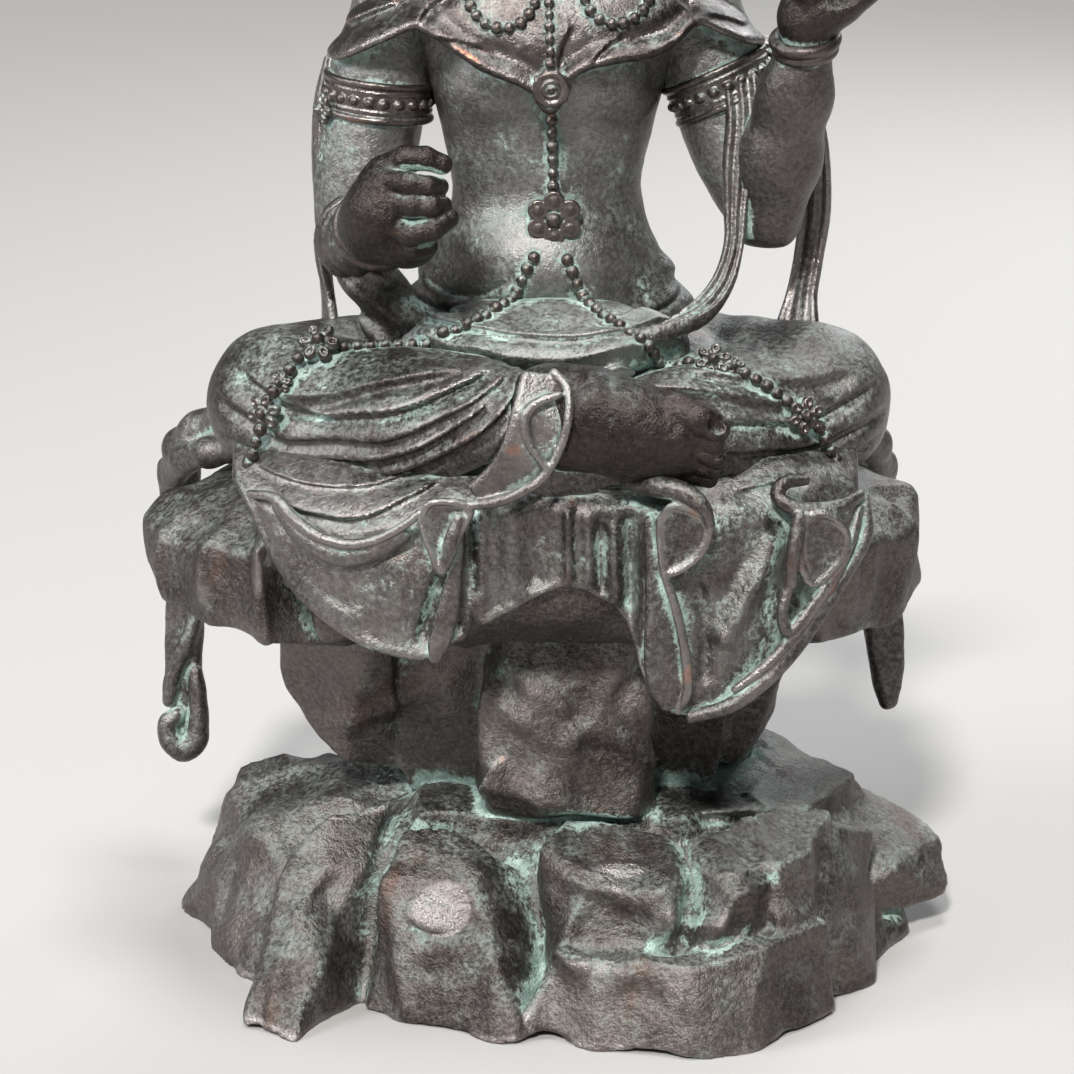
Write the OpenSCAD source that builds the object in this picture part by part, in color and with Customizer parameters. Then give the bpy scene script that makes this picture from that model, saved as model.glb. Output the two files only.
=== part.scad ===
// Seated bodhisattva on a rock seat, cast in bronze sections that are pinned and brazed together.
// The figure lifts off the rock: two locating pegs under its lap drop into sockets in the seat.
// Millimetres, +Z up, the front faces -Y, and the origin is the middle of the foot's underside.

/* [Rock pedestal] */
// Height of the flat seat above the table
seat_z = 120; // [116:0.5:124]
// Side-to-side stretch of the whole rock
rock_width_k = 1; // [0.96:0.01:1.04]
// Rounding of the rock's edges
rock_round = 3.2; // [2.6:0.1:3.8]
// Thickness of the closing plate under the foot
plate_t = 2; // [1.5:0.1:2.5]
// Clear gap between the figure and the rock it sits on
seat_gap = 0.4; // [0.3:0.05:0.6]

/* [Fixings] */
// Diameter of the tie rod that holds the rock sections together
rod_d = 6; // [5:0.5:7]
// Diameter of the two locating pegs under the figure
peg_d = 6; // [5:0.5:7]
// Wall of the sockets that take the pegs
socket_wall = 1.5; // [1.2:0.1:2]
// Gap all round a peg in its socket
peg_play = 0.08; // [0.05:0.01:0.1]

/* [Jewellery] */
// Diameter of an ordinary bead
bead_d = 2.8; // [2.4:0.1:3.2]
// Diameter of the large flower pendant
pendant_d = 12; // [10:0.5:14]

/* [Hidden] */

bronze = [0.33, 0.30, 0.27];
dark_bronze = [0.24, 0.21, 0.19];
steel = [0.62, 0.62, 0.64];
brass = [0.70, 0.56, 0.30];
ball_sides = 10;
limb_sides = 12;
figure_x = -2;            // the figure sits a little to its right of the foot's middle
fuse = 0.01;              // thickness of a slice that a stack is hulled from

// ---------- shared shapes ----------

module ball(p, r, sides = ball_sides) translate([p.x, p.y, p.z]) sphere(r = r, $fn = sides);

// A chain of tapered limbs through points [x, y, z, radius].
module chain(points, sides = limb_sides)
    for (i = [0 : len(points) - 2])
        hull() {
            ball(points[i], points[i][3], sides);
            ball(points[i + 1], points[i + 1][3], sides);
        }

// A stack of elliptical slices [z, x, y, half width, half depth], hulled one to the next.
module stack(slices, sides = 20)
    for (i = [0 : len(slices) - 2])
        hull()
            for (s = [slices[i], slices[i + 1]])
                translate([s[1], s[2], s[0]]) scale([s[3], s[4], 1]) cylinder(r = 1, h = fuse, $fn = sides);

// A boulder: rounded corners at the points, hulled.
module boulder(points, r = rock_round, drop = 0)
    hull()
        for (p = points, d = drop > 0 ? [0, drop] : [0])
            ball([p.x * rock_width_k, p.y, p.z - d], r, 8);

// A ribbon of even thickness that follows points [x, y, z] with its width along a side vector.
function unit(v) = v / norm(v);
function ribbon_ring(p, side, face, w, t) =
    [p - side * w / 2 - face * t / 2, p + side * w / 2 - face * t / 2,
     p + side * w / 2 + face * t / 2, p - side * w / 2 + face * t / 2];
module ribbon(path, widths, t, side) {
    n = len(path);
    rings = [for (i = [0 : n - 1])
        let (along = unit(path[min(i + 1, n - 1)] - path[max(i - 1, 0)]),
             face = unit(cross(along, side)), across = unit(cross(face, along)))
        each ribbon_ring(path[i], across, face, widths[i], t)];
    sides = [for (i = [0 : n - 2], k = [0 : 3])
        each [[4 * i + k, 4 * i + 4 + k, 4 * i + (k + 1) % 4],
              [4 * i + (k + 1) % 4, 4 * i + 4 + k, 4 * i + 4 + (k + 1) % 4]]];
    polyhedron(rings, concat(sides, [[0, 1, 2], [0, 2, 3],
        [4 * n - 4, 4 * n - 2, 4 * n - 3], [4 * n - 4, 4 * n - 1, 4 * n - 2]]));
}

// Beads one after another along a polyline, never touching each other.
function seg_len(p, i) = norm(p[i + 1] - p[i]);
function path_len(p, i = 0) = i >= len(p) - 1 ? 0 : seg_len(p, i) + path_len(p, i + 1);
function at(p, s, i = 0) =
    i >= len(p) - 2 || s <= seg_len(p, i) ? p[i] + (p[i + 1] - p[i]) * min(1, s / seg_len(p, i))
    : at(p, s - seg_len(p, i), i + 1);
bead_pitch = bead_d * 1.06;
module beads(path) {
    count = floor(path_len(path) / bead_pitch);
    for (i = [0 : count]) ball(at(path, i * bead_pitch), bead_d / 2, 24);
}

module flower(r, petals, t) {
    cylinder(r = r * 0.4, h = t * 1.3, $fn = 12);
    for (i = [0 : petals - 1])
        rotate(i * 360 / petals) translate([r * 0.62, 0, 0]) rotate(7) cylinder(r = r * 0.36, h = t, $fn = 12);
}

// The figure's own frame: its origin is on the seat, under the middle of the body.
module figure() translate([figure_x, 0, seat_z]) children();

// ---------- rock pedestal ----------

base_boulders = [
    [[-50, -30, 3], [50, -30, 3], [60, 30, 3], [-50, 40, 3], [-30, -28, 38], [30, -30, 38],
     [38, 20, 38], [-32, 24, 38]],
    [[-89, 10, 3], [-78, -24, 3], [-60, -40, 3], [-50, 30, 3], [-75, 42, 3], [-87, 6, 12], [-76, 20, 29],
     [-58, 22, 34], [-35, 0, 38], [-72, -8, 27]],
    [[-65, -59, 3], [-57, -62, 3], [-42, -52, 3], [-45, -20, 3], [-70, -25, 3], [-62, -45, 20],
     [-54, -30, 32], [-40, -30, 34]],
    [[-38, -52, 3], [-22, -60, 3], [-8, -65, 3], [0, -40, 3], [-35, -30, 3], [-38, -46, 19], [-20, -52, 22],
     [-8, -50, 26], [-25, -34, 35], [-5, -34, 36]],
    [[-5, -65, 3], [12, -69, 3], [30, -74, 3], [45, -68, 3], [50, -30, 3], [0, -30, 3], [8, -58, 20],
     [30, -64, 15],
     [44, -59, 15], [10, -40, 34], [36, -40, 30]],
    [[44, -66, 3], [61, -51, 3], [73, -36, 3], [70, 0, 3], [40, -20, 3], [48, -56, 18], [61, -43, 21],
     [50, -34, 33], [66, -14, 29]],
    [[70, -30, 3], [83, -6, 3], [79, 30, 3], [50, 40, 3], [40, 0, 3], [62, -6, 33], [52, 14, 36], [73, 12, 29]],
    [[66, -20, 12], [91, -5, 11], [92, 3, 17], [85, 10, 21], [60, 28, 27], [60, 0, 31], [83, -12, 19]],
    [[-78, 38, 3], [-40, 60, 3], [0, 63, 3], [0, 20, 3], [-60, 20, 3], [-50, 46, 25], [-20, 48, 31],
     [-30, 24, 38]],
    [[0, 63, 3], [40, 60, 3], [70, 38, 3], [60, 10, 3], [0, 10, 3], [20, 50, 29], [46, 42, 27], [20, 24, 38]],
];
column_boulders = [
    [[-34, -8, 40], [36, -8, 40], [38, 26, 40], [-34, 28, 40], [-46, -20, 90], [46, -20, 90],
     [48, 32, 90], [-46, 34, 90],
     [-34, -9, 58], [34, -9, 58]],
    [[-14, -33, 46], [18, -34, 44], [20, -22, 40], [-16, -22, 40], [-16, -31, 66], [-6, -36, 70], [20, -30, 70],
     [-6, -30, 88], [16, -30, 86], [-14, -4, 46], [18, -4, 46], [-12, -8, 86], [17, -8, 86]],
    [[-60, -8, 90], [-40, -28, 92], [-64, 12, 88], [-62, -4, 64], [-50, -12, 49], [-40, -10, 47],
     [-34, 14, 46], [-52, 14, 52]],
    [[30, -22, 92], [56, -8, 90], [52, 20, 90], [32, -9, 56], [43, -6, 46], [46, 12, 42], [30, 10, 40],
     [50, -6, 62]],
];
shelf_top = 116.4;        // height of the boulders' upper corners, a rounding under the seat
shelf_boulders = [
    [[-60, -40, shelf_top], [60, -40, shelf_top], [62, 38, shelf_top], [-58, 40, shelf_top],
     [-28, -53, 108], [30, -53, 108],
     [-50, -44, 92], [46, -42, 90], [50, 34, 90], [-50, 36, 90], [0, -52, 98], [0, 50, 112]],
    [[-96, -6, 108], [-96, -8, 99], [-88, -24, 106], [-86, -26, 93], [-68, -42, 110], [-66, -42, 92],
     [-50, -28, 87],
     [-54, 18, 87], [-78, 15, 96], [-84, 13, 105], [-58, 34, 109], [-62, -28, shelf_top], [-66, 16, shelf_top]],
    [[84, -4, 111], [84, -8, 94], [80, -26, 108], [77, -26, 90], [62, -44, 110], [60, -42, 92], [50, -30, 86],
     [50, 18, 87], [72, 14, 92], [76, 13, 106], [58, 32, 109], [62, -28, shelf_top], [62, 14, shelf_top]],
    [[-52, 40, 112], [46, 38, 112], [-46, 42, 96], [40, 42, 94], [-20, 48, 110], [20, 48, 108], [0, 30, 88]],
];
foot_outline = [[-74, 8], [-64, -20], [-54, -44], [-34, -46], [-8, -54], [30, -60], [48, -48], [64, -28],
                [72, 0], [64, 28], [34, 48], [-8, 51], [-40, 46], [-64, 30]];
screw_places = [[-52, -34], [44, -42], [50, 30], [-44, 38]];
deck_z = 31;              // underside of the foot's deck, where the tie rod's lower washer bears
rod_x = 2;
rod_y = 4;
washer_t = 1.2;
nut_h = 5;
peg_places = [[-26, 8], [26, 8]];
peg_len = 16;
socket_len = 12;

module base_form() {
    for (b = base_boulders) boulder(b);
    // the solid body behind the crevices
    hull() {
        linear_extrude(1) offset(delta = 1) polygon(foot_outline);
        translate([0, 0, 22]) linear_extrude(1) offset(delta = -8) polygon(foot_outline);
        translate([-38, -27, 33]) cube([78, 57, 2]);
    }
}
module column_form() for (b = column_boulders) boulder(b);
module shelf_form(drop = 0) {
    for (b = shelf_boulders) boulder(b, rock_round, drop);
    // the flat seat under the figure
    hull()
        for (p = [[-58, -38], [58, -38], [58, 34], [-58, 36]])
            translate([p.x, p.y, seat_z - 8 - drop]) cylinder(r = 10, h = 8 + drop, $fn = 20);
}
module below(z, size = 260) translate([-size / 2, -size / 2, z - size]) cube(size);
module above(z, size = 260) translate([-size / 2, -size / 2, z]) cube(size);

module rod_hole(z1, z2) translate([rod_x, rod_y, z1]) cylinder(d = rod_d + 0.8, h = z2 - z1, $fn = 24);

module base_rock() color(dark_bronze) difference() {
    base_form();
    below(0);
    translate([0, 0, -1]) linear_extrude(1 + plate_t + 0.15) offset(delta = 0.15) polygon(foot_outline);
    hull() {
        translate([0, 0, plate_t]) linear_extrude(1) offset(delta = -6) polygon(foot_outline);
        translate([0, 0, 20]) linear_extrude(1) offset(delta = -15) polygon(foot_outline);
        translate([0, 2, deck_z - 1]) linear_extrude(1) square([64, 44], center = true);
    }
    for (p = screw_places) translate([p.x, p.y, plate_t]) cylinder(d = 3, h = 8, $fn = 16);
    rod_hole(0, 60);
}

module base_plate() color(brass) difference() {
    linear_extrude(plate_t) polygon(foot_outline);
    for (p = screw_places) translate([p.x, p.y, -1]) cylinder(d = 3.2, h = plate_t + 2, $fn = 32);
}

module base_screws() color(steel) for (p = screw_places)
    translate([p.x, p.y, 0.1]) cylinder(d = 2.6, h = 8, $fn = 32);

module rock_column() color(dark_bronze) difference() {
    column_form();
    base_form();
    shelf_form();
    hull() {
        translate([-28, -4, 34]) cube([58, 26, 1]);
        translate([-39, -12, 82]) cube([80, 38, 1]);
    }
    rod_hole(30, 110);
}

module rock_shelf() color(dark_bronze) difference() {
    shelf_form();
    above(seat_z);
    hull() {
        translate([-54, -32, 93]) cube([106, 52, 1]);
        translate([-76, -8, 101]) cube([148, 18, 5]);
        translate([-58, -33, 114.5]) cube([114, 58, 1]);
    }
    translate([-24, -6, 70]) cube([50, 26, 32]);
    rod_hole(90, 140);
    for (p = peg_places)
        translate([p.x, p.y, seat_z - socket_len])
            cylinder(d = peg_d + 2 * (peg_play + socket_wall) + 0.3, h = 40, $fn = 32);
}

module peg_sockets() color(brass) for (p = peg_places)
    translate([p.x, p.y, seat_z - socket_len]) difference() {
        cylinder(d = peg_d + 2 * (peg_play + socket_wall), h = socket_len, $fn = 64);
        translate([0, 0, -1]) cylinder(d = peg_d + 2 * peg_play, h = socket_len + 2, $fn = 64);
    }

rod_z1 = deck_z - washer_t - nut_h - 2;
rod_z2 = seat_z + washer_t + nut_h + 1;
module tie_rod() color(steel) translate([rod_x, rod_y, rod_z1]) cylinder(d = rod_d, h = rod_z2 - rod_z1, $fn = 64);
module tie_washers() color(steel) for (z = [deck_z - washer_t, seat_z])
    translate([rod_x, rod_y, z]) difference() {
        cylinder(d = rod_d * 2.4, h = washer_t, $fn = 64);
        translate([0, 0, -1]) cylinder(d = rod_d + 0.2, h = washer_t + 2, $fn = 64);
    }
module tie_nuts() color(steel) for (z = [deck_z - washer_t - nut_h, seat_z + washer_t])
    translate([rod_x, rod_y, z]) difference() {
        cylinder(d = rod_d * 1.9, h = nut_h, $fn = 6);
        translate([0, 0, -1]) cylinder(d = rod_d + 0.1, h = nut_h + 2, $fn = 64);
    }

// ---------- figure: body and robe, in the figure's own frame ----------

module lap_form() {
    chain([[-16, 12, 18, 17], [-61, -13, 17.6, 17.8]]);
    chain([[16, 12, 18, 17], [61, -13, 17.6, 17.8]]);
    chain([[-61, -15, 17.8, 17.8], [-30, -38, 20.6, 14.5], [1, -51, 25, 9.5]]);
    chain([[61, -15, 17.8, 17.8], [30, -38, 16, 15], [2, -46, 13, 12.5]]);
    chain([[-18, 12, 19, 19], [18, 12, 19, 19]]);
    chain([[-26, -14, 20, 17], [26, -14, 20, 17]]);
    chain([[-40, -30, 12, 12], [0, -42, 12, 12], [40, -30, 12, 12]]);
}
module torso_form() stack([
    [26, 0, 6, 34, 22], [34, 0, 6, 35, 22], [42, 0, 5, 33, 20.5], [50, 0, 4, 28, 17.5], [58, 0, 3, 24.5, 15.5],
    [68, 0, 2, 24, 16], [80, 0, 1.5, 25.8, 17.5], [92, 0, 1, 28, 18.5], [102, 0, 2, 33, 18],
     [110, 0, 3, 36, 15],
    [116, 0, 4, 26, 12], [120, 0, 4, 14, 11.5], [124, 0, 3.5, 12, 11.2]]);
module right_arm_form()
    chain([[-35, 3, 106, 11], [-38, 2.5, 92, 10.4], [-41, 2, 76, 9.6], [-43, 0.5, 64, 9.4],
        [-45, -1, 54, 9.4]]);
module left_arm_form()
    chain([[35, 3, 106, 11], [38, 2, 94, 10.4], [42, 0, 80, 9.6], [46, -2.5, 72, 9.7], [50, -5, 64, 9.8]]);
module cape_form() {
    stack([[102, 0, 1, 46, 21.5], [105, 0, 1, 46, 22.5], [110, 0, 2, 43, 21.5], [115, 0, 3, 36, 19],
        [119, 0, 3.5, 27, 17], [122, 0, 3.5, 17, 14]], 20);
    // one lobe over each shoulder, and one that comes to a point on the chest and on the back
    for (s = [-1, 1]) hull() {
        ball([s * 47.5, -1, 99], 2.2);
        ball([s * 44, -13, 100], 2.2);
        ball([s * 34, -18, 104.5], 2.2);
        ball([s * 44, 13, 101], 2.2);
        ball([s * 35, 15, 104.5], 2.2);
        ball([s * 36, 0, 110], 5);
    }
    for (y = [-1, 1]) hull() {
        ball([-30, y * 16 - 1, 105.4], 2);
        ball([30, y * 16 - 1, 105.4], 2);
        ball([-15, y * 20.4, 99], 2);
        ball([15, y * 20.4, 99], 2);
        ball([0, y * 22.2, 93.6], 2);
        ball([0, y * 3, 109], 6);
    }
}
module rock_clearance() translate([0, 0, seat_gap]) minkowski_free_shelf();
// the space that the rock sweeps as the figure is lifted straight off it
module minkowski_free_shelf() translate([-figure_x, 0, -seat_z]) {
    for (b = shelf_boulders) boulder(b, rock_round + seat_gap, 70);
    hull()
        for (p = [[-58, -38], [58, -38], [58, 34], [-58, 36]])
            translate([p.x, p.y, seat_z - 80]) cylinder(r = 10 + seat_gap, h = 80, $fn = 20);
}

module lap() figure() color(bronze) difference() {
    lap_form();
    torso_form();
    rock_clearance();
    below(seat_gap);
    // hollow of the casting, open underneath
    hull() {
        chain([[-58, -12, 14, 12.4], [58, -12, 14, 12.4]], 12);
        chain([[-14, 10, 17, 15], [14, 10, 17, 15]], 12);
        translate([-50, -20, -4]) cube([100, 38, 1]);
    }
}

module locating_pegs() color(steel) for (p = peg_places)
    translate([p.x, p.y, seat_z - socket_len + 1]) cylinder(d = peg_d, h = peg_len + 16, $fn = 64);

module foot_form() {
    chain([[2, -54, 27, 9], [16, -58, 28, 9], [29, -60, 25, 8.2]], 12);
    toes = [[34, -64, 29, 3.8], [36, -64.5, 24, 3], [37, -63.5, 20, 2.8], [37, -62, 16.6, 2.6],
        [36, -60, 13.6, 2.4]];
    for (t = toes) hull() {
        ball([t.x - 6, t.y + 2, t.z + (t.z < 26 ? 1 : 0)], t[3] + 0.4, 8);
        ball(t, t[3], 8);
    }
}
module right_foot() figure() color(bronze) difference() {
    foot_form();
    lap_form();
}

// lower edge of the cloth that hangs over the rock's front: [x, y, z of the bottom]
skirt_edge = [[-68, -42, 2], [-62, -48, -14], [-52, -54, -22], [-40, -58, -27], [-28, -60, -29],
              [-18, -60.5, -24], [-8, -60.5, -15], [4, -60.5, -13], [16, -60.5, -20], [22, -61, -36],
              [31, -61, -42], [42, -60, -37], [54, -56, -26], [64, -49, -10], [70, -42, 0]];
skirt_top = 9;
skirt_r = 2.2;
module skirt_form()
    for (i = [0 : len(skirt_edge) - 2])
        hull()
            for (p = [skirt_edge[i], skirt_edge[i + 1]], z = [p.z + skirt_r, skirt_top])
                ball([p.x, p.y + (z == skirt_top ? 3 : 0), z], skirt_r, 8);
module robe_skirt() figure() color(bronze) difference() {
    skirt_form();
    lap_form();
    foot_form();
    rock_clearance();
}

// a turned-back corner of the cloth: a narrow leaf that stands off the skirt
module leaf(points, r) hull() for (p = points) ball(p, r, 10);
module hem_fold_right() figure() color(bronze)
    leaf([[-28, -65.5, 9], [-18, -66, 8], [-22, -66.5, -7]], 1.6);
module hem_fold_middle() figure() color(bronze)
    leaf([[22, -66, 11], [34, -66, 9], [25, -66.5, -4], [30, -66.2, -34], [25, -66.2, -30]], 1.6);
module hem_fold_left() figure() color(bronze)
    leaf([[57, -56.5, 12], [70, -50, 9], [66, -53, -4], [58, -58, -6]], 1.6);

hem_path = [[-69, -44, 11], [-62, -52, 4], [-50, -59, -1], [-38, -63.5, 3], [-26, -66, 14],
    [-12, -66.5, 18], [-4, -65, 26], [-2, -63, 34]];
module hem_roll() figure() color(bronze) difference() {
    chain([for (p = hem_path) [p.x, p.y, p.z, 1.8]], 10);
    chain([for (p = hem_path) [p.x, p.y + 30, p.z, 0.01]], 4);
    lap_form();
    foot_form();
    skirt_form();
    hem_fold_keepout();
}
module hem_fold_keepout() leaf([[-28, -65.5, 9], [-18, -66, 8], [-22, -66.5, -7]], 1.9);

module apron_form() hull() {
    ball([-30, -24, 33], 5);
    ball([28, -24, 33], 5);
    ball([-14, -38, 33], 4);
    ball([14, -38, 33], 4);
    ball([0, -16, 42], 8);
}
module waist_apron() figure() color(bronze) difference() {
    apron_form();
    torso_form();
    lap_form();
    foot_form();
}

module torso() figure() color(bronze) difference() {
    torso_form();
    stack([[20, 0, 6, 31, 19], [34, 0, 6, 32, 19], [42, 0, 5, 29, 16], [58, 0, 3, 20, 11.5],
        [80, 0, 1.5, 21.6, 13],
           [92, 0, 1, 23.6, 14], [104, 0, 2, 25, 12], [112, 0, 3, 10, 8], [125, 0, 3.5, 8, 7.5]]);
}

module neck_form() stack([[124, 0, 3.5, 12, 11.2], [129, 0, 2.5, 11.4, 11], [136, 0, 1, 12, 12]]);
module shoulder_cape() figure() color(bronze) difference() {
    cape_form();
    torso_form();
    right_arm_form();
    left_arm_form();
}

// ---------- figure: arms and hands ----------

module right_upper_arm() figure() color(bronze) difference() {
    right_arm_form();
    torso_form();
    right_forearm_form();
    armlet_right_solid();
}
module left_upper_arm() figure() color(bronze) difference() {
    left_arm_form();
    torso_form();
    left_forearm_form();
    armlet_left_solid();
}
module right_forearm_form() chain([[-45, -5, 54, 9.6], [-42, -20, 58, 8.4], [-38.5, -36, 64, 6]]);
module left_forearm_form() chain([[51, -8, 64, 9.8], [55, -14, 82, 8.6], [58.5, -21, 102, 5.8]]);
module right_forearm() figure() color(bronze) difference() {
    right_forearm_form();
    bracelet_right_solid();
    lap_form();
}
module left_forearm() figure() color(bronze) difference() {
    left_forearm_form();
    bracelet_left_solid();
}

// palm and fingers as tapered limbs, each finger [knuckle, joint, tip]
module fingers(list) for (f = list) chain(f, 8);
module right_hand_form() {
    chain([[-38, -38, 65, 5.4], [-35.5, -45, 70, 6.2], [-34.5, -48, 74, 5.6]], 10);
    fingers([[[-33, -51, 78, 2.5], [-27, -54, 77.6, 2.3], [-22, -50, 77, 2.1]],
             [[-33, -52, 73.6, 2.5], [-26, -55, 73.2, 2.3], [-21.6, -51, 73, 2.1]],
             [[-33, -52, 69.4, 2.4], [-26.4, -54.6, 68.8, 2.2], [-21.8, -51, 68.8, 2]],
             [[-34, -51, 65.4, 2.3], [-27.6, -53.4, 64.6, 2.1], [-22.6, -50, 65.2, 1.9]],
             [[-34, -46, 79, 2.8], [-28, -47.5, 82.6, 2.6], [-22, -48, 81.8, 2.3]]]);
}
module left_hand_form() {
    chain([[58.4, -21.6, 104, 5.4], [58.2, -22, 109, 5.4], [59.4, -22.4, 116, 4.8]], 10);
    chain([[58.2, -22, 109, 5.2], [64, -23, 113, 5.2], [69.8, -24, 117, 4.6]], 10);
    chain([[59.4, -22.4, 116, 4.6], [69.8, -24, 117, 4.4]], 10);
    fingers([[[62.6, -25.6, 119, 2.6], [66, -28.6, 126.4, 2.3], [63.8, -33.2, 131.6, 2]],
             [[66.8, -25.4, 120, 2.6], [70.8, -28, 128.4, 2.3], [71.6, -31.4, 135, 1.9]],
             [[70.4, -25, 119.4, 2.5], [75.4, -27, 126.4, 2.2], [77.2, -30, 132.6, 1.8]],
             [[72.8, -24, 117, 2.3], [78.6, -25.4, 121.6, 2], [81.8, -28, 126.4, 1.6]],
             [[57.8, -24.4, 112, 3.2], [57.6, -28.8, 118.4, 2.8], [61.2, -33.2, 125.6, 2.2]]]);
}
module right_hand() figure() color(bronze) difference() {
    right_hand_form();
    right_forearm_form();
    bracelet_right_solid();
}
module left_hand() figure() color(bronze) difference() {
    left_hand_form();
    left_forearm_form();
    bracelet_left_solid();
}

// turns +Z to point from one place to another
module aim(from, to) {
    d = to - from;
    translate(from) rotate([0, acos(d.z / norm(d)), atan2(d.y, d.x)]) children();
}
armlet_w = 9;
module armlet_right_place() aim([-38.8, 2.4, 89.5], [-41, 2, 76]) children();
module armlet_left_place() aim([38.4, 1.8, 91.5], [42, 0, 80]) children();
module bracelet_right_place() aim([-39, -34, 63.2], [-36, -44, 69]) children();
module bracelet_left_place() aim([58, -20, 99.5], [60.6, -22.6, 108]) children();
module ring_solid(r, r_in, w) difference() {
    translate([0, 0, -0.1]) cylinder(r = r, h = w + 0.2, $fn = 40);
    translate([0, 0, -1]) cylinder(r = r_in, h = 20, $fn = 40);
}
module armlet_right_solid() armlet_right_place() ring_solid(14, 9.2, armlet_w);
module armlet_left_solid() armlet_left_place() ring_solid(14, 9.2, armlet_w);
module bracelet_right_solid() bracelet_right_place() ring_solid(12, 5.2, 4);
module bracelet_left_solid() bracelet_left_place() ring_solid(12, 5.2, 4);

module band(r_in, r_out, w, bosses, boss_r) {
    rotate_extrude($fn = 64) {
        translate([r_in, 0]) square([r_out - r_in, w]);
        translate([r_out - 0.2, 0]) square([1, w * 0.18]);
        translate([r_out - 0.2, w * 0.82]) square([1, w * 0.18]);
    }
    for (i = [0 : bosses - 1])
        rotate(i * 360 / bosses) translate([r_out - 0.4, -boss_r, w / 2 - boss_r])
            cube([1.2, 2 * boss_r, 2 * boss_r]);
}
module right_armlet() figure() color(dark_bronze) armlet_right_place() band(9.3, 10.8, armlet_w, 16, 1.1);
module left_armlet() figure() color(dark_bronze) armlet_left_place() band(9.3, 10.8, armlet_w, 16, 1.1);
module right_bracelet() figure() color(dark_bronze) bracelet_right_place() band(5.3, 7, 4, 12, 0.7);
module left_bracelet() figure() color(dark_bronze) bracelet_left_place() band(5.3, 7, 4, 12, 0.7);

module right_sleeve() figure() color(bronze) difference() {
    hull() {
        ball([-44, -12, 47], 4);
        ball([-40, -26, 51], 3.4);
        ball([-36, -20, 36], 4);
        ball([-26, -14, 34], 4);
        ball([-30, -8, 38], 4);
    }
    right_forearm_form();
    lap_form();
    torso_form();
    right_arm_form();
    apron_form();
}

// ---------- figure: head ----------

module head_form() {
    hull() {
        ball([0, 4, 162], 18.5, 20);
        ball([-7, -7, 152], 10.5, 14);
        ball([7, -7, 152], 10.5, 14);
        ball([0, -10, 139], 7.6, 14);
        ball([0, 0, 144], 12, 14);
    }
    hull() { ball([0, -18, 157], 1.6); ball([0, -20.4, 149], 2); ball([0, -17, 148], 3); }
    hull() { ball([0, -17.4, 143], 2); ball([0, -16, 144], 4); }
    neck_form();
    for (s = [-1, 1]) hull() { ball([s * 9, -14, 155], 2.6); ball([s * 5, -15.4, 155], 2.2); }
    for (s = [-1, 1]) hull() { ball([s * 12, -10.6, 158], 2); ball([s * 4, -16, 159], 1.6); }
}
module head() figure() color(bronze) difference() {
    head_form();
    torso_form();
    hull() { ball([0, 3, 160], 13, 14); ball([0, 1, 148], 9, 14); }
    translate([0, 3, 120]) cylinder(r = 7, h = 30, $fn = 24);
}
module ear_form(s) {
    hull() { ball([s * 18.4, 2, 160], 2.6); ball([s * 19, 5, 154], 2.2); }
    hull() { ball([s * 19, 5, 154], 2.2); ball([s * 17.4, 2, 143], 2.4); }
    hull() { ball([s * 18.4, 2, 160], 2.6); ball([s * 17.8, 0.4, 150], 1.6); }
    hull() { ball([s * 17.4, 2, 143], 2.4); ball([s * 16.8, 1, 136], 2.2); }
}
module ears() figure() color(bronze) difference() {
    union() { ear_form(-1); ear_form(1); }
    head_form();
}
module hair_form() {
    hull() {
        ball([0, 5, 164], 20.6, 20);
        ball([0, 8, 154], 17.5, 16);
    }
    hull() { ball([-13, -4, 169], 7); ball([0, -8, 173], 8); }
    hull() { ball([13, -4, 169], 7); ball([0, -8, 173], 8); }
    hull() { ball([-15, 2, 158], 5.4); ball([-13, -4, 169], 6); }
    hull() { ball([15, 2, 158], 5.4); ball([13, -4, 169], 6); }
    hull() { ball([-10, 12, 148], 6); ball([10, 12, 148], 6); }
    hull() { ball([0, 12, 148], 7); ball([0, 14, 160], 8); }
    hull() { ball([0, 4, 182], 8); ball([0, 4, 176], 12); }
}
module hair() figure() color(dark_bronze) difference() {
    hair_form();
    head_form();
    union() { ear_form(-1); ear_form(1); }
}
module topknot() figure() color(dark_bronze) difference() {
    union() {
        chain([[0, 5, 188, 10], [0, 6, 196, 11], [0, 5, 205, 8.5], [0, 4, 211, 5]], 16);
        chain([[-8, 4, 190, 6], [-6, 3, 202, 5.5], [0, 3, 209, 4]], 10);
        chain([[8, 4, 190, 6], [6, 3, 202, 5.5], [0, 3, 209, 4]], 10);
        chain([[-6, 0, 187, 5], [6, 0, 187, 5]], 10);
    }
    hair_form();
}
lock_path = [[17, 9, 146, 3.2], [20, 9, 136, 2.8], [24, 7, 127, 2.6], [29, 4, 121, 2.4],
    [33, -1, 118, 2.2], [37, -5, 115, 1.6]];
module hair_locks() figure() color(dark_bronze) difference() {
    for (s = [-1, 1]) chain([for (p = lock_path) [s * p.x, p.y, p.z, p[3]]], 8);
    hair_form();
    head_form();
    cape_form();
    union() { ear_form(-1); ear_form(1); }
    neck_form();
    torso_form();
    right_arm_form();
    left_arm_form();
}
diadem_z = 168;
module diadem() figure() color(dark_bronze) difference() {
    union() {
        for (a = [-60 : 20 : 40])
            hull() for (b = [a, a + 20])
                translate([20.6 * sin(b), 1 - 17.6 * cos(b), diadem_z]) ball([0, 0, 0], 2);
        for (a = [-48, 0, 48]) {
            tall = a == 0 ? 14 : 9;
            hull() {
                translate([20.8 * sin(a), 1 - 18 * cos(a), diadem_z]) ball([0, 0, 0], 3);
                translate([20 * sin(a), 1 - 16.5 * cos(a), diadem_z + tall]) ball([0, 0, 0], 1.2);
            }
        }
    }
    hair_form();
    head_form();
}

// ---------- figure: beads and pendants ----------

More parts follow.
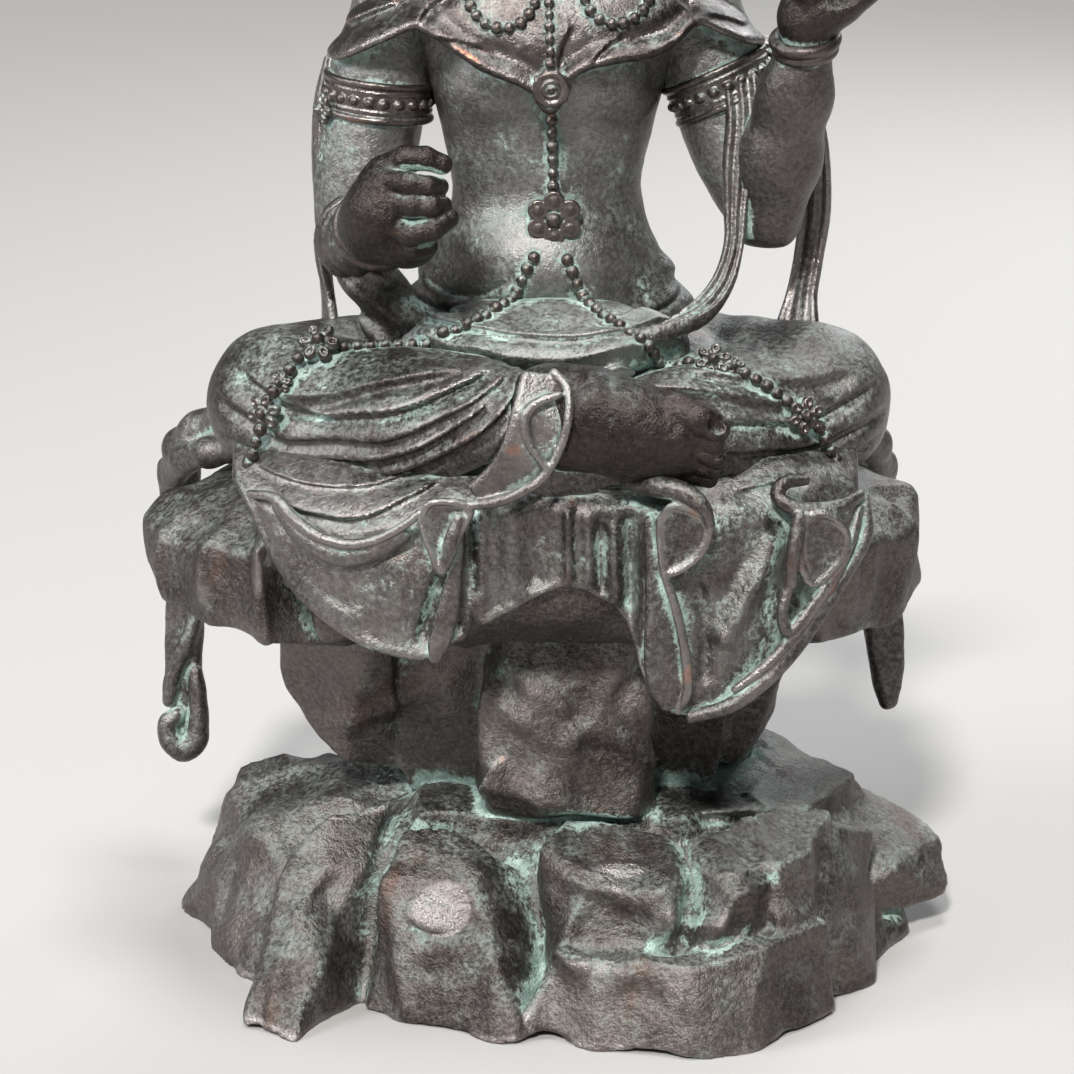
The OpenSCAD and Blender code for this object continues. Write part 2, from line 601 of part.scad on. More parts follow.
module festoon(x0, r)
    beads([for (a = [190 : 20 : 350]) [x0 + r * cos(a), -24.2 + 0.08 * r * (1 + sin(a)), 115.4 + r * sin(a)]]);
module necklace_festoons() figure() color(dark_bronze) {
    festoon(-10.4, 8.4);
    festoon(15.6, 7.6);
}
module chest_beads() figure() color(dark_bronze) {
    beads([[0.4, -24.6, 113], [0.6, -26, 98.6]]);
    beads([[0.9, -22.4, 87.6], [1.3, -18.8, 76], [1.4, -17.2, 69.4]]);
}
module face_front(p, tilt) translate(p) rotate([90 - tilt, 0, 0]) children();
module chest_rosette() figure() color(dark_bronze) face_front([0.8, -24.2, 93.4], 0) flower(4.4, 8, 2.4);
module flower_pendant() figure() color(dark_bronze) face_front([1.6, -15.4, 62], -6) flower(pendant_d / 2, 6, 3);
right_strand = [[-3.4, -19.6, 52], [-8.6, -23, 46], [-15, -28, 40.6], [-24, -30, 38], [-34, -31.6, 37],
    [-46, -31.6, 36.6]];
right_strand_low = [[-57.6, -34.6, 33.6], [-63, -36.8, 25.6], [-66.6, -37, 17], [-68.8, -34, 8]];
left_strand = [[5, -19.6, 51.6], [9.6, -23.4, 44.6], [15.6, -29, 38.8], [23, -33.6, 35.6], [32, -35.6, 33.8]];
left_strand_low = [[42, -37.4, 32.4], [49, -39, 29], [54.6, -39.6, 25]];
left_strand_end = [[61, -38, 19], [64.6, -35.8, 13], [66.6, -32.6, 7]];
module right_lap_beads() figure() color(dark_bronze) {
    beads(right_strand);
    beads(right_strand_low);
}
module left_lap_beads() figure() color(dark_bronze) {
    beads(left_strand);
    beads(left_strand_low);
    beads(left_strand_end);
}
module bead_flower(p) translate(p) {
    ball([0, 0, 0], 2.6, 10);
    for (a = [0 : 60 : 300]) ball([3.1 * cos(a), -0.6, 3.1 * sin(a)], 1.6, 8);
}
module lap_bead_flowers() figure() color(dark_bronze)
    for (p = [[-52, -33.4, 36.8], [-64, -37.6, 21], [37.4, -37.4, 33.6], [58.4, -39.6, 22.4]]) bead_flower(p);

// ---------- figure: scarf ----------

module right_arm_scarf() figure() color(bronze) difference() {
    ribbon([[-49, 8, 92], [-52.2, 6, 82], [-52.8, 5, 70], [-52.4, 5, 58], [-52.4, 3, 46], [-52, 0, 36]],
           [5, 5.6, 5.6, 5, 4.6, 6], 2.2, [0.3, -1, 0]);
    right_arm_form();
    lap_form();
    armlet_right_solid();
}
module left_inner_scarf() figure() color(bronze) difference() {
    ribbon([[33, -12, 82], [37, -14.4, 72], [40.6, -17, 62], [41, -20, 52], [38, -24, 44.6],
        [31, -29, 40], [21, -34, 38.6]],
           [4, 5.6, 6, 6, 6, 6, 5], 2.2, [1, 0.1, 0.3]);
    left_arm_form();
    left_forearm_form();
    torso_form();
    lap_form();
    apron_form();
}
module left_outer_scarf() figure() color(bronze) difference() {
    ribbon([[61, 2, 84], [62.8, 4, 74], [63, 5, 62], [62, 4, 50], [59.6, 2, 42], [58, -2, 36]],
           [5, 6.6, 7, 7, 7, 8], 2.2, [1, -0.3, 0]);
    left_forearm_form();
    left_arm_form();
    lap_form();
}
module right_scarf_tail() figure() color(bronze) difference() {
    ribbon([[-64, 4, 5], [-72, 11, 2], [-80, 18, -2], [-87, 25, -7], [-90.6, 31, -15], [-91.4, 34, -36],
        [-91, 35, -60],
            [-92, 35, -82], [-95, 34, -93]],
           [12, 12, 12, 12, 11, 10.6, 11, 10, 8], 3, [1, -0.8, 0]);
    lap_form();
    rock_clearance();
}
module left_scarf_tail() figure() color(bronze) difference() {
    ribbon([[64, 4, 5], [71, 12, 2], [77, 20, -2], [80.6, 28, -8], [82, 33, -18], [82.4, 35, -44],
        [84, 36, -64], [85, 36, -76]],
           [12, 11, 10, 10, 9.6, 9.4, 9.4, 7], 3, [1, 0.6, 0]);
    lap_form();
    rock_clearance();
}

// ---------- nodes ----------

base_rock();
base_plate();
base_screws();
rock_column();
rock_shelf();
peg_sockets();
tie_rod();
tie_washers();
tie_nuts();
lap();
locating_pegs();
right_foot();
robe_skirt();
hem_fold_right();
hem_fold_middle();
hem_fold_left();
hem_roll();
waist_apron();
torso();
shoulder_cape();
right_upper_arm();
right_forearm();
right_hand();
right_armlet();
right_bracelet();
right_sleeve();
left_upper_arm();
left_forearm();
left_hand();
left_armlet();
left_bracelet();
head();
ears();
hair();
topknot();
hair_locks();
diadem();
necklace_festoons();
chest_beads();
chest_rosette();
flower_pendant();
right_lap_beads();
left_lap_beads();
lap_bead_flowers();
right_arm_scarf();
left_inner_scarf();
left_outer_scarf();
right_scarf_tail();
left_scarf_tail();
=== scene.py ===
# The looks of a seated bodhisattva bronze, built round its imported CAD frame.
# Every cast piece is sculpted as a distance field in millimetres, meshed, and hung on its CAD body.
import math
from concurrent.futures import ThreadPoolExecutor

import bmesh
import bpy
import numpy as np
import openvdb
import mathutils
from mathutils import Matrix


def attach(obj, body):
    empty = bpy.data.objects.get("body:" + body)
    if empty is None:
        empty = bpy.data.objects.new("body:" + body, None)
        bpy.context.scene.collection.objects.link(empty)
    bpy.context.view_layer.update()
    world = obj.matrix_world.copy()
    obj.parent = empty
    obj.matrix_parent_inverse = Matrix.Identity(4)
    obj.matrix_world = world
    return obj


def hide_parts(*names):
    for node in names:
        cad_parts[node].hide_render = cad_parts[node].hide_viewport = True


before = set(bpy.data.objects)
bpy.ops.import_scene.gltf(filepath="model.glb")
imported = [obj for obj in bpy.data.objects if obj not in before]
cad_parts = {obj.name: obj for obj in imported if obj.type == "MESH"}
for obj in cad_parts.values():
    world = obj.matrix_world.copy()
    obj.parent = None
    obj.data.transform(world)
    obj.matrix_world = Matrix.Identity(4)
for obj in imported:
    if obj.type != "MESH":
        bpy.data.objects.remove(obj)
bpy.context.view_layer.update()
COARSER = 1.0
FIG = (-2.0, 0.0, 120.0)     # the figure's own frame: on the seat, under the middle of the body
MM = 0.001
SEAT_Z, SOCKET_Z = 120, 108     # heights of the flat seat and of the floor under its sockets
PEG_X, PEG_Y, SOCKET_R = 26, 8, 4.7     # the two pegs' places and the sockets' bore in the rock
PLATE_TOP, PLATE_GAP = 2.15, 0.15     # the closing plate's recess under the foot

# ---------------------------------------------------------------- distance fields, in millimetres


def smin(a, b, k):
    h = np.clip(0.5 + 0.5 * (b - a) / k, 0, 1)
    return b + (a - b) * h - k * h * (1 - h)


def smax(a, b, k):
    return -smin(-a, -b, k)


def step(a, b, x):
    t = np.clip((x - a) / (b - a), 0, 1)
    return t * t * (3 - 2 * t)


def bump(x, c, w):
    return np.exp(-(((x - c) / w) ** 2))


def ball(P, c, r):
    return np.sqrt((P[0] - c[0]) ** 2 + (P[1] - c[1]) ** 2 + (P[2] - c[2]) ** 2) - r


def egg(P, c, r, turn=0.0):
    """An egg-shaped solid, turned about the x axis by so many degrees."""
    q = [P[i] - c[i] for i in range(3)]
    if turn:
        s, t = math.sin(math.radians(turn)), math.cos(math.radians(turn))
        q[1], q[2] = t * q[1] + s * q[2], -s * q[1] + t * q[2]
    k0 = np.sqrt(sum((q[i] / r[i]) ** 2 for i in range(3)))
    k1 = np.sqrt(sum((q[i] / r[i] ** 2) ** 2 for i in range(3)))
    return k0 * (k0 - 1) / np.maximum(k1, 1e-4)


def cone(P, a, b):
    d = [b[i] - a[i] for i in range(3)]
    L = max(d[0] ** 2 + d[1] ** 2 + d[2] ** 2, 1e-9)
    t = np.clip(((P[0] - a[0]) * d[0] + (P[1] - a[1]) * d[1] + (P[2] - a[2]) * d[2]) / L, 0, 1)
    return np.sqrt(sum((P[i] - a[i] - d[i] * t) ** 2 for i in range(3))) - (a[3] + (b[3] - a[3]) * t)


def chain(P, pts, k=3.0):
    d = cone(P, pts[0], pts[1])
    for a, b in zip(pts[1:], pts[2:]):
        d = smin(d, cone(P, a, b), k)
    return d


def local(P, lo, hi, pad, f):
    """f only near its box; further off, the distance to the box."""
    d = np.sqrt(sum(np.maximum(np.maximum(lo[i] - P[i], P[i] - hi[i]), 0) ** 2 for i in range(3)))
    m = d < pad
    if m.any():
        d[m] = f(tuple(c[m] for c in P))
    return d


def box_of(pts, grow=0.0):
    a = np.array([p[:3] for p in pts], float)
    r = max([p[3] for p in pts if len(p) > 3] + [0]) + grow
    return a.min(0) - r, a.max(0) + r


def near(P, pts, f, pad=4.0, grow=0.0):
    lo, hi = box_of(pts, grow)
    return local(P, lo, hi, pad, f)


def limb(P, pts, k=3.0, pad=5.0):
    return near(P, pts, lambda Q: chain(Q, pts, k), pad)


def curve(points, n=5):
    """A smooth line through the points; anything after x, y, z is carried along."""
    p = np.array(points, float)
    p = np.vstack([2 * p[0] - p[1], p, 2 * p[-1] - p[-2]])
    out = []
    for i in range(1, len(p) - 2):
        for t in np.arange(n) / n:
            out.append(0.5 * (2 * p[i] + (p[i + 1] - p[i - 1]) * t
                              + (2 * p[i - 1] - 5 * p[i] + 4 * p[i + 1] - p[i + 2]) * t * t
                              + (3 * p[i] - p[i - 1] - 3 * p[i + 1] + p[i + 2]) * t ** 3))
    return np.array(out + [p[-2]])


def strand(P, c, pad=3.0):
    """A round line through points (x, y, z, radius), with sharp joints."""
    return near(P, c, lambda Q: np.minimum.reduce([cone(Q, a, b) for a, b in zip(c, c[1:])]), pad)


def tube(P, points, pad=3.0):
    return strand(P, curve(points, 4), pad)


def ribbon(P, points, side, thick, pleats=0, depth=0.0):
    """A strap along points (x, y, z, half width); side is the way its width runs."""
    c = curve(points, 4)
    s = np.array(side, float)

    def f(Q):
        best = np.full(Q[0].shape, 1e3, np.float32)
        for a, b in zip(c, c[1:]):
            d = b[:3] - a[:3]
            u = s - d * (s @ d) / (d @ d)
            u /= np.linalg.norm(u)
            t = np.clip(sum((Q[i] - a[i]) * d[i] for i in range(3)) / (d @ d), 0, 1)
            e = [Q[i] - a[i] - d[i] * t for i in range(3)]
            across = sum(e[i] * u[i] for i in range(3))
            rest = np.sqrt(np.maximum(sum(v * v for v in e) - across ** 2, 0))
            w = a[3] + (b[3] - a[3]) * t
            th = thick
            if pleats:
                th = thick * (1 + depth * np.cos(across / np.maximum(w, 0.5) * math.pi * pleats))
            best = np.minimum(best, np.sqrt(np.maximum(np.abs(across) - w + thick, 0) ** 2 + rest ** 2) - th)
        return best

    return near(P, c, f, 3.0)


_T = (np.random.RandomState(7).rand(32 * 32 * 32) * 2 - 1).astype(np.float32)


def noise(P, size, seed=0):
    """Smooth value noise, about -1 to 1, with lumps of that size."""
    g, fr = [], []
    for i, o in enumerate((seed * 7.31, seed * 3.77 + 11, seed * 5.13 + 23)):
        v = P[i] / size + o
        fl = np.floor(v)
        t = (v - fl).astype(np.float32)
        g.append(fl.astype(np.int32) & 31)
        fr.append(t * t * (3 - 2 * t))
    x0, y0, z0 = g
    x1, y1, z1 = (x0 + 1) & 31, (y0 + 1) & 31, (z0 + 1) & 31

    def row(y, z):
        b = (y * 32 + z) * 32
        return _T[b + x0] * (1 - fr[0]) + _T[b + x1] * fr[0]

    near_ = row(y0, z0) * (1 - fr[1]) + row(y1, z0) * fr[1]
    far_ = row(y0, z1) * (1 - fr[1]) + row(y1, z1) * fr[1]
    return near_ * (1 - fr[2]) + far_ * fr[2]


def scoops(P, seeds, deep):
    """Shallow bowls round the seeds (x, y, z), meeting in ridges: positive where the surface stands out."""
    f1 = np.full(P[0].shape, 1e6, np.float32)
    f2 = f1.copy()
    for c in seeds:
        q = (P[0] - c[0]) ** 2 + (P[1] - c[1]) ** 2 + (P[2] - c[2]) ** 2
        f2 = np.minimum(f2, np.maximum(f1, q))
        f1 = np.minimum(f1, q)
    a, b = np.sqrt(f1), np.sqrt(f2)
    ridge = np.clip(1 - (b - a) / (a + 3), 0, 1)
    return deep * (ridge ** 1.6 * 0.79 - 0.35)


def scatter(lo, hi, gap, seed):
    """Points about a gap apart, one in each cell of a grid, pushed about at random."""
    r = np.random.RandomState(seed)
    n = [int(math.ceil((b - a) / gap)) for a, b in zip(lo, hi)]
    return [tuple(lo[i] + (c[i] + 0.15 + 0.7 * r.rand()) * gap for i in range(3)) for c in np.ndindex(*n)]


def grit(P, amount=1.0):
    """The lumpy skin of a hand-finished casting."""
    return amount * (0.16 * noise(P, 5, 3) + 0.07 * noise(P, 1.8, 4))


def planes_of(points):
    bm = bmesh.new()
    for p in points:
        bm.verts.new(p)
    bmesh.ops.convex_hull(bm, input=bm.verts)
    seen, out = set(), []
    for fc in bm.faces:
        n = fc.normal
        d = n.dot(fc.verts[0].co)
        key = (round(n.x, 2), round(n.y, 2), round(n.z, 2), round(d, 1))
        if key not in seen:
            seen.add(key)
            out.append((n.x, n.y, n.z, d))
    c = np.mean(np.array(points, float), 0)
    out = [q if q[0] * c[0] + q[1] * c[1] + q[2] * c[2] < q[3] else tuple(-v for v in q) for q in out]
    bm.free()
    return out


def rock(P, boulders, r=3.2, k=3.0, blend=2.2):
    """Hulls of points with worn edges, run together, on a warped grid so that no facet is quite flat."""
    w = (P[0] + 1.5 * noise(P, 15, 1), P[1] + 1.5 * noise(P, 15, 2), P[2] + 1.0 * noise(P, 15, 5))
    out = None
    for pts, planes in boulders:
        lo, hi = box_of(pts, r + 2)

        def f(Q, planes=planes):
            d = np.full(Q[0].shape, -1e3, np.float32)
            for n in planes:
                d = smax(d, Q[0] * n[0] + Q[1] * n[1] + Q[2] * n[2] - n[3], k)
            return d - r

        d = local(w, lo, hi, 6.0, f)
        out = d if out is None else smin(out, d, blend)
    return out


def poly2(x, y, pts):
    """Signed distance to a closed outline in the plane."""
    d = np.full(x.shape, 1e9, np.float32)
    inside = np.zeros(x.shape, bool)
    for (ax, ay), (bx, by) in zip(pts, pts[1:] + pts[:1]):
        ex, ey = bx - ax, by - ay
        t = np.clip(((x - ax) * ex + (y - ay) * ey) / (ex * ex + ey * ey), 0, 1)
        d = np.minimum(d, (x - ax - ex * t) ** 2 + (y - ay - ey * t) ** 2)
        cross = (ay > y) != (by > y)
        inside ^= cross & (x < (bx - ax) * (y - ay) / ((by - ay) or 1e-9) + ax)
    return np.where(inside, -1, 1) * np.sqrt(d)


def drawn(u, v, line, reach):
    """Where (u, v) lies near a curved line: the mask, signed distance, distance along it and its length."""
    c = curve(line, 4)
    lo, hi = c.min(0) - reach, c.max(0) + reach
    m = (u > lo[0]) & (u < hi[0]) & (v > lo[1]) & (v < hi[1])
    x, y = u[m], v[m]
    best, side, along = np.full(x.shape, 1e9), np.zeros(x.shape), np.zeros(x.shape)
    run = 0.0
    for a, b in zip(c, c[1:]):
        e = b - a
        L = np.hypot(*e)
        t = np.clip(((x - a[0]) * e[0] + (y - a[1]) * e[1]) / (L * L), 0, 1)
        dx, dy = x - a[0] - e[0] * t, y - a[1] - e[1] * t
        q = dx * dx + dy * dy
        w = q < best
        best[w], side[w], along[w] = q[w], (e[0] * dy - e[1] * dx)[w] / L, (run + L * t)[w]
        run += L
    return m, np.sqrt(best) * np.sign(side), along, run


def pleat(u, v, line, high, wide, ends=6.0):
    """A ridge with a crease under it along a line drawn on the (u, v) plane; it fades at both ends."""
    out = np.zeros(u.shape, np.float32)
    m, dist, along, total = drawn(u, v, line, wide * 4)
    fade = step(0, ends, along) * step(0, ends, total - along) * step(4, 3, np.abs(dist) / wide)
    above = np.exp(-np.maximum(dist, 0) / (1.5 * wide))
    below = np.exp(-((dist + 0.55 * wide) / (0.5 * wide)) ** 2)
    out[m] = fade * high * (above * step(-0.45, 0.15, dist) - 0.75 * below)
    return out


def stroke(u, v, line, high, wide, ends=2.0):
    """A plain rounded ridge, or a groove when high is negative, along a drawn line."""
    out = np.zeros(u.shape, np.float32)
    m, dist, along, total = drawn(u, v, line, wide * 3)
    fade = step(-0.01, ends, along) * step(-0.01, ends, total - along)
    out[m] = fade * high * np.exp(-((dist / wide) ** 2))
    return out


def barrel(P, slices, power=2.0):
    """Elliptical slices (z, x, y, half width, half depth) run smoothly one into the next."""
    c = curve(slices, 4)
    cx, cy, w, t = (np.interp(P[2], c[:, 0], c[:, i]) for i in (1, 2, 3, 4))
    x, y = np.abs(P[0] - cx) / w, np.abs(P[1] - cy) / t
    k = (x ** power + y ** power + 1e-9) ** (1 / power)
    slope = np.sqrt((x ** (power - 1) / w) ** 2 + (y ** (power - 1) / t) ** 2)
    g = slope / np.maximum(k, 1e-3) ** (power - 1)
    d = (k - 1) / np.maximum(g, 0.02)
    return smax(np.clip(d, -60, 60) * 0.9, np.maximum(c[0, 0] - P[2], P[2] - c[-1, 0]), 1.0)


def beads(P, path, r, pitch=1.02, k=0.25, wire=0.45):
    """Round beads cast touching along a line, on a thin core."""
    c = curve(path, 6)
    s = np.concatenate([[0], np.cumsum([np.linalg.norm(b[:3] - a[:3]) for a, b in zip(c, c[1:])])])
    n = max(1, int(round(s[-1] / (2 * r * pitch))))
    at = [tuple(np.interp(i * s[-1] / n, s, c[:, j]) for j in range(3)) for i in range(n + 1)]

    def f(Q):
        d = np.minimum.reduce([cone(Q, (*a, wire), (*b, wire)) for a, b in zip(at, at[1:])])
        for i, p in enumerate(at):
            q = r * (1 + 0.08 * math.sin(i * 2.4))
            d = smin(d, local(Q, np.array(p) - q, np.array(p) + q, 1.5, lambda R, p=p, q=q: ball(R, p, q)), k)
        return d

    return near(P, [(*p, r) for p in at], f, 3.0)


def flower(P, c, r, petals, thick, turn=0.0, tip=(0, -1, 0)):
    """A cast flower: cupped petals round a domed heart, facing along tip."""
    n = np.array(tip, float)
    n /= np.linalg.norm(n)
    u = np.cross((0, 0, 1), n) if abs(n[2]) < 0.9 else np.array((1.0, 0, 0))
    u /= np.linalg.norm(u)
    v = np.cross(n, u)

    def f(Q):
        e = [Q[i] - c[i] for i in range(3)]
        a, b, h = (sum(e[i] * w[i] for i in range(3)) for w in (u, v, n))
        d = egg((a, b, h), (0, 0, thick * 0.55), (r * 0.34, r * 0.34, thick * 0.75))
        for i in range(petals):
            t = turn + i * 2 * math.pi / petals
            p = a * math.cos(t) + b * math.sin(t)
            q = -a * math.sin(t) + b * math.cos(t)
            w = r * 1.9 / petals
            leaf_ = egg((p, q, h), (r * 0.66, 0, 0), (r * 0.40, w, thick * 0.62))
            dish = egg((p, q, h), (r * 0.74, 0, thick * 0.75), (r * 0.24, w * 0.55, thick * 0.5))
            leaf_ = smax(leaf_, -dish, 0.25)
            d = smin(d, leaf_, 0.25)
        return smin(d, np.maximum(np.hypot(a, b) - r * 0.55, np.abs(h + thick * 0.2) - thick * 0.3), 0.3)

    return near(P, [(*c, r + thick)], f, 2.0)


# ---------------------------------------------------------------- from field to mesh

POOL = ThreadPoolExecutor(4)


def fine(f, P):
    """The field at many points, worked out in parallel blocks."""
    n = 150000
    parts = [tuple(c[i:i + n] for c in P) for i in range(0, len(P[0]), n)]
    return np.concatenate(list(POOL.map(f, parts)))


def new_mesh(name, verts, faces, sides):
    me = bpy.data.meshes.new(name)
    me.vertices.add(len(verts))
    me.vertices.foreach_set("co", np.ascontiguousarray(verts * MM, np.float32).ravel())
    me.loops.add(len(faces))
    me.loops.foreach_set("vertex_index", faces)
    me.polygons.add(len(sides))
    me.polygons.foreach_set("loop_start", np.concatenate([[0], np.cumsum(sides)[:-1]]).astype(np.int32))
    me.polygons.foreach_set("loop_total", np.array(sides, np.int32))
    me.polygons.foreach_set("use_smooth", np.ones(len(sides), bool))
    me.update(calc_edges=True)
    me.validate()
    return me


def hang(ob, body, node, finish):
    slot, mat = finish
    bpy.context.scene.collection.objects.link(ob)
    ob.data.materials.append(mat)
    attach(ob, body)
    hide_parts(node)
    return ob


def sculpt(name, f, lo, hi, voxel, body, node, finish, at=(0, 0, 0), beside=(), worn=()):
    """Meshes the field f (in its own frame, moved to at), and keeps how hollow or edge-like each point is.

    The fields beside it count towards the hollows, so that dirt gathers where pieces meet.
    Worn spots are (x, y, z, radius)."""
    h, B = voxel * COARSER, 8
    lo = np.array(lo, float) - 2 * h
    nb = np.ceil((np.array(hi, float) + 2 * h - lo) / (B * h)).astype(int)
    cells = np.indices(nb).reshape(3, -1).T
    mid = lo + (cells + 0.5) * B * h
    c = fine(f, tuple(mid[:, i].astype(np.float32) for i in range(3)))
    keep = np.abs(c) < B * h * 1.05 + 1.0
    arr = np.clip(c.reshape(nb), -3 * h, 3 * h).astype(np.float32)
    arr = arr.repeat(B, 0).repeat(B, 1).repeat(B, 2)
    offs = (np.indices((B, B, B)).reshape(3, -1).T + 0.5) * h
    P = ((lo + cells[keep] * B * h)[:, None, :] + offs[None]).reshape(-1, 3).astype(np.float32)
    v = np.clip(fine(f, (P[:, 0], P[:, 1], P[:, 2])), -3 * h, 3 * h)
    six = arr.reshape(nb[0], B, nb[1], B, nb[2], B).transpose(0, 2, 4, 1, 3, 5)
    six[keep.reshape(nb)] = v.reshape(-1, B, B, B)
    grid = openvdb.FloatGrid(3 * h)
    grid.copyFromArray(arr)
    pts, tris, quads = grid.convertToPolygons(0.0, 0.0)
    pts = lo + (np.asarray(pts, float) + 0.5) * h
    quads, tris = np.asarray(quads, np.int64), np.asarray(tris, np.int64).reshape(-1, 3)
    a, b, c_, d = (pts[quads[:, i]] for i in range(4))
    vol = np.einsum("ij,ij->", a, np.cross(b, c_)) + np.einsum("ij,ij->", a, np.cross(c_, d))
    if vol < 0:
        quads, tris = quads[:, ::-1], tris[:, ::-1]
    me = new_mesh(name, pts + np.array(at), np.concatenate([quads.ravel(), tris.ravel()]).astype(np.int32),
                  [4] * len(quads) + [3] * len(tris))
    n = np.zeros(len(me.vertices) * 3, np.float32)
    me.vertex_normals.foreach_get("vector", n)
    n = n.reshape(-1, 3)
    Q = np.zeros(len(me.vertices) * 3, np.float32)
    me.vertices.foreach_get("co", Q)
    Q = Q.reshape(-1, 3) / MM - np.array(at, np.float32)
    hollow, edge = np.zeros(len(Q), np.float32), np.zeros(len(Q), np.float32)
    for r, w in ((1.2, 0.4), (3.0, 0.35), (7.0, 0.25)):
        p = (Q + n * r).astype(np.float32)
        here = np.minimum.reduce([fine(g, (p[:, 0], p[:, 1], p[:, 2])) for g in (f, *beside)])
        hollow += w * np.clip(1 - here / r, 0, 1.5)
    for r, w in ((0.9, 0.5), (2.2, 0.5)):
        p = (Q - n * r).astype(np.float32)
        edge += w * np.clip(1 + fine(f, (p[:, 0], p[:, 1], p[:, 2])) / r, 0, 1)
    for *c, r in worn:
        near_ = step(r, 0.75 * r, np.sqrt(((Q - c) ** 2).sum(1)))
        edge += 0.5 * near_
        hollow *= 1 - near_
    for key, val in (("hollow", hollow), ("edge", edge)):
        me.attributes.new(key, "FLOAT", "POINT").data.foreach_set("value", val.astype(np.float32))
    return hang(bpy.data.objects.new(name, me), body, node, finish)


def cast(name, f, lo, hi, voxel, node, finish, beside=()):
    """A sculpted piece of the figure, drawn in the figure's own frame."""
    return sculpt(name, f, lo, hi, voxel, "figure", node, finish, FIG, beside)


def mirrored(f):
    """A field drawn on the figure's left, with its mirror image."""
    return lambda P: f((np.abs(P[0]), P[1], P[2]))

# ---------------------------------------------------------------- finishes: (material slot, material)


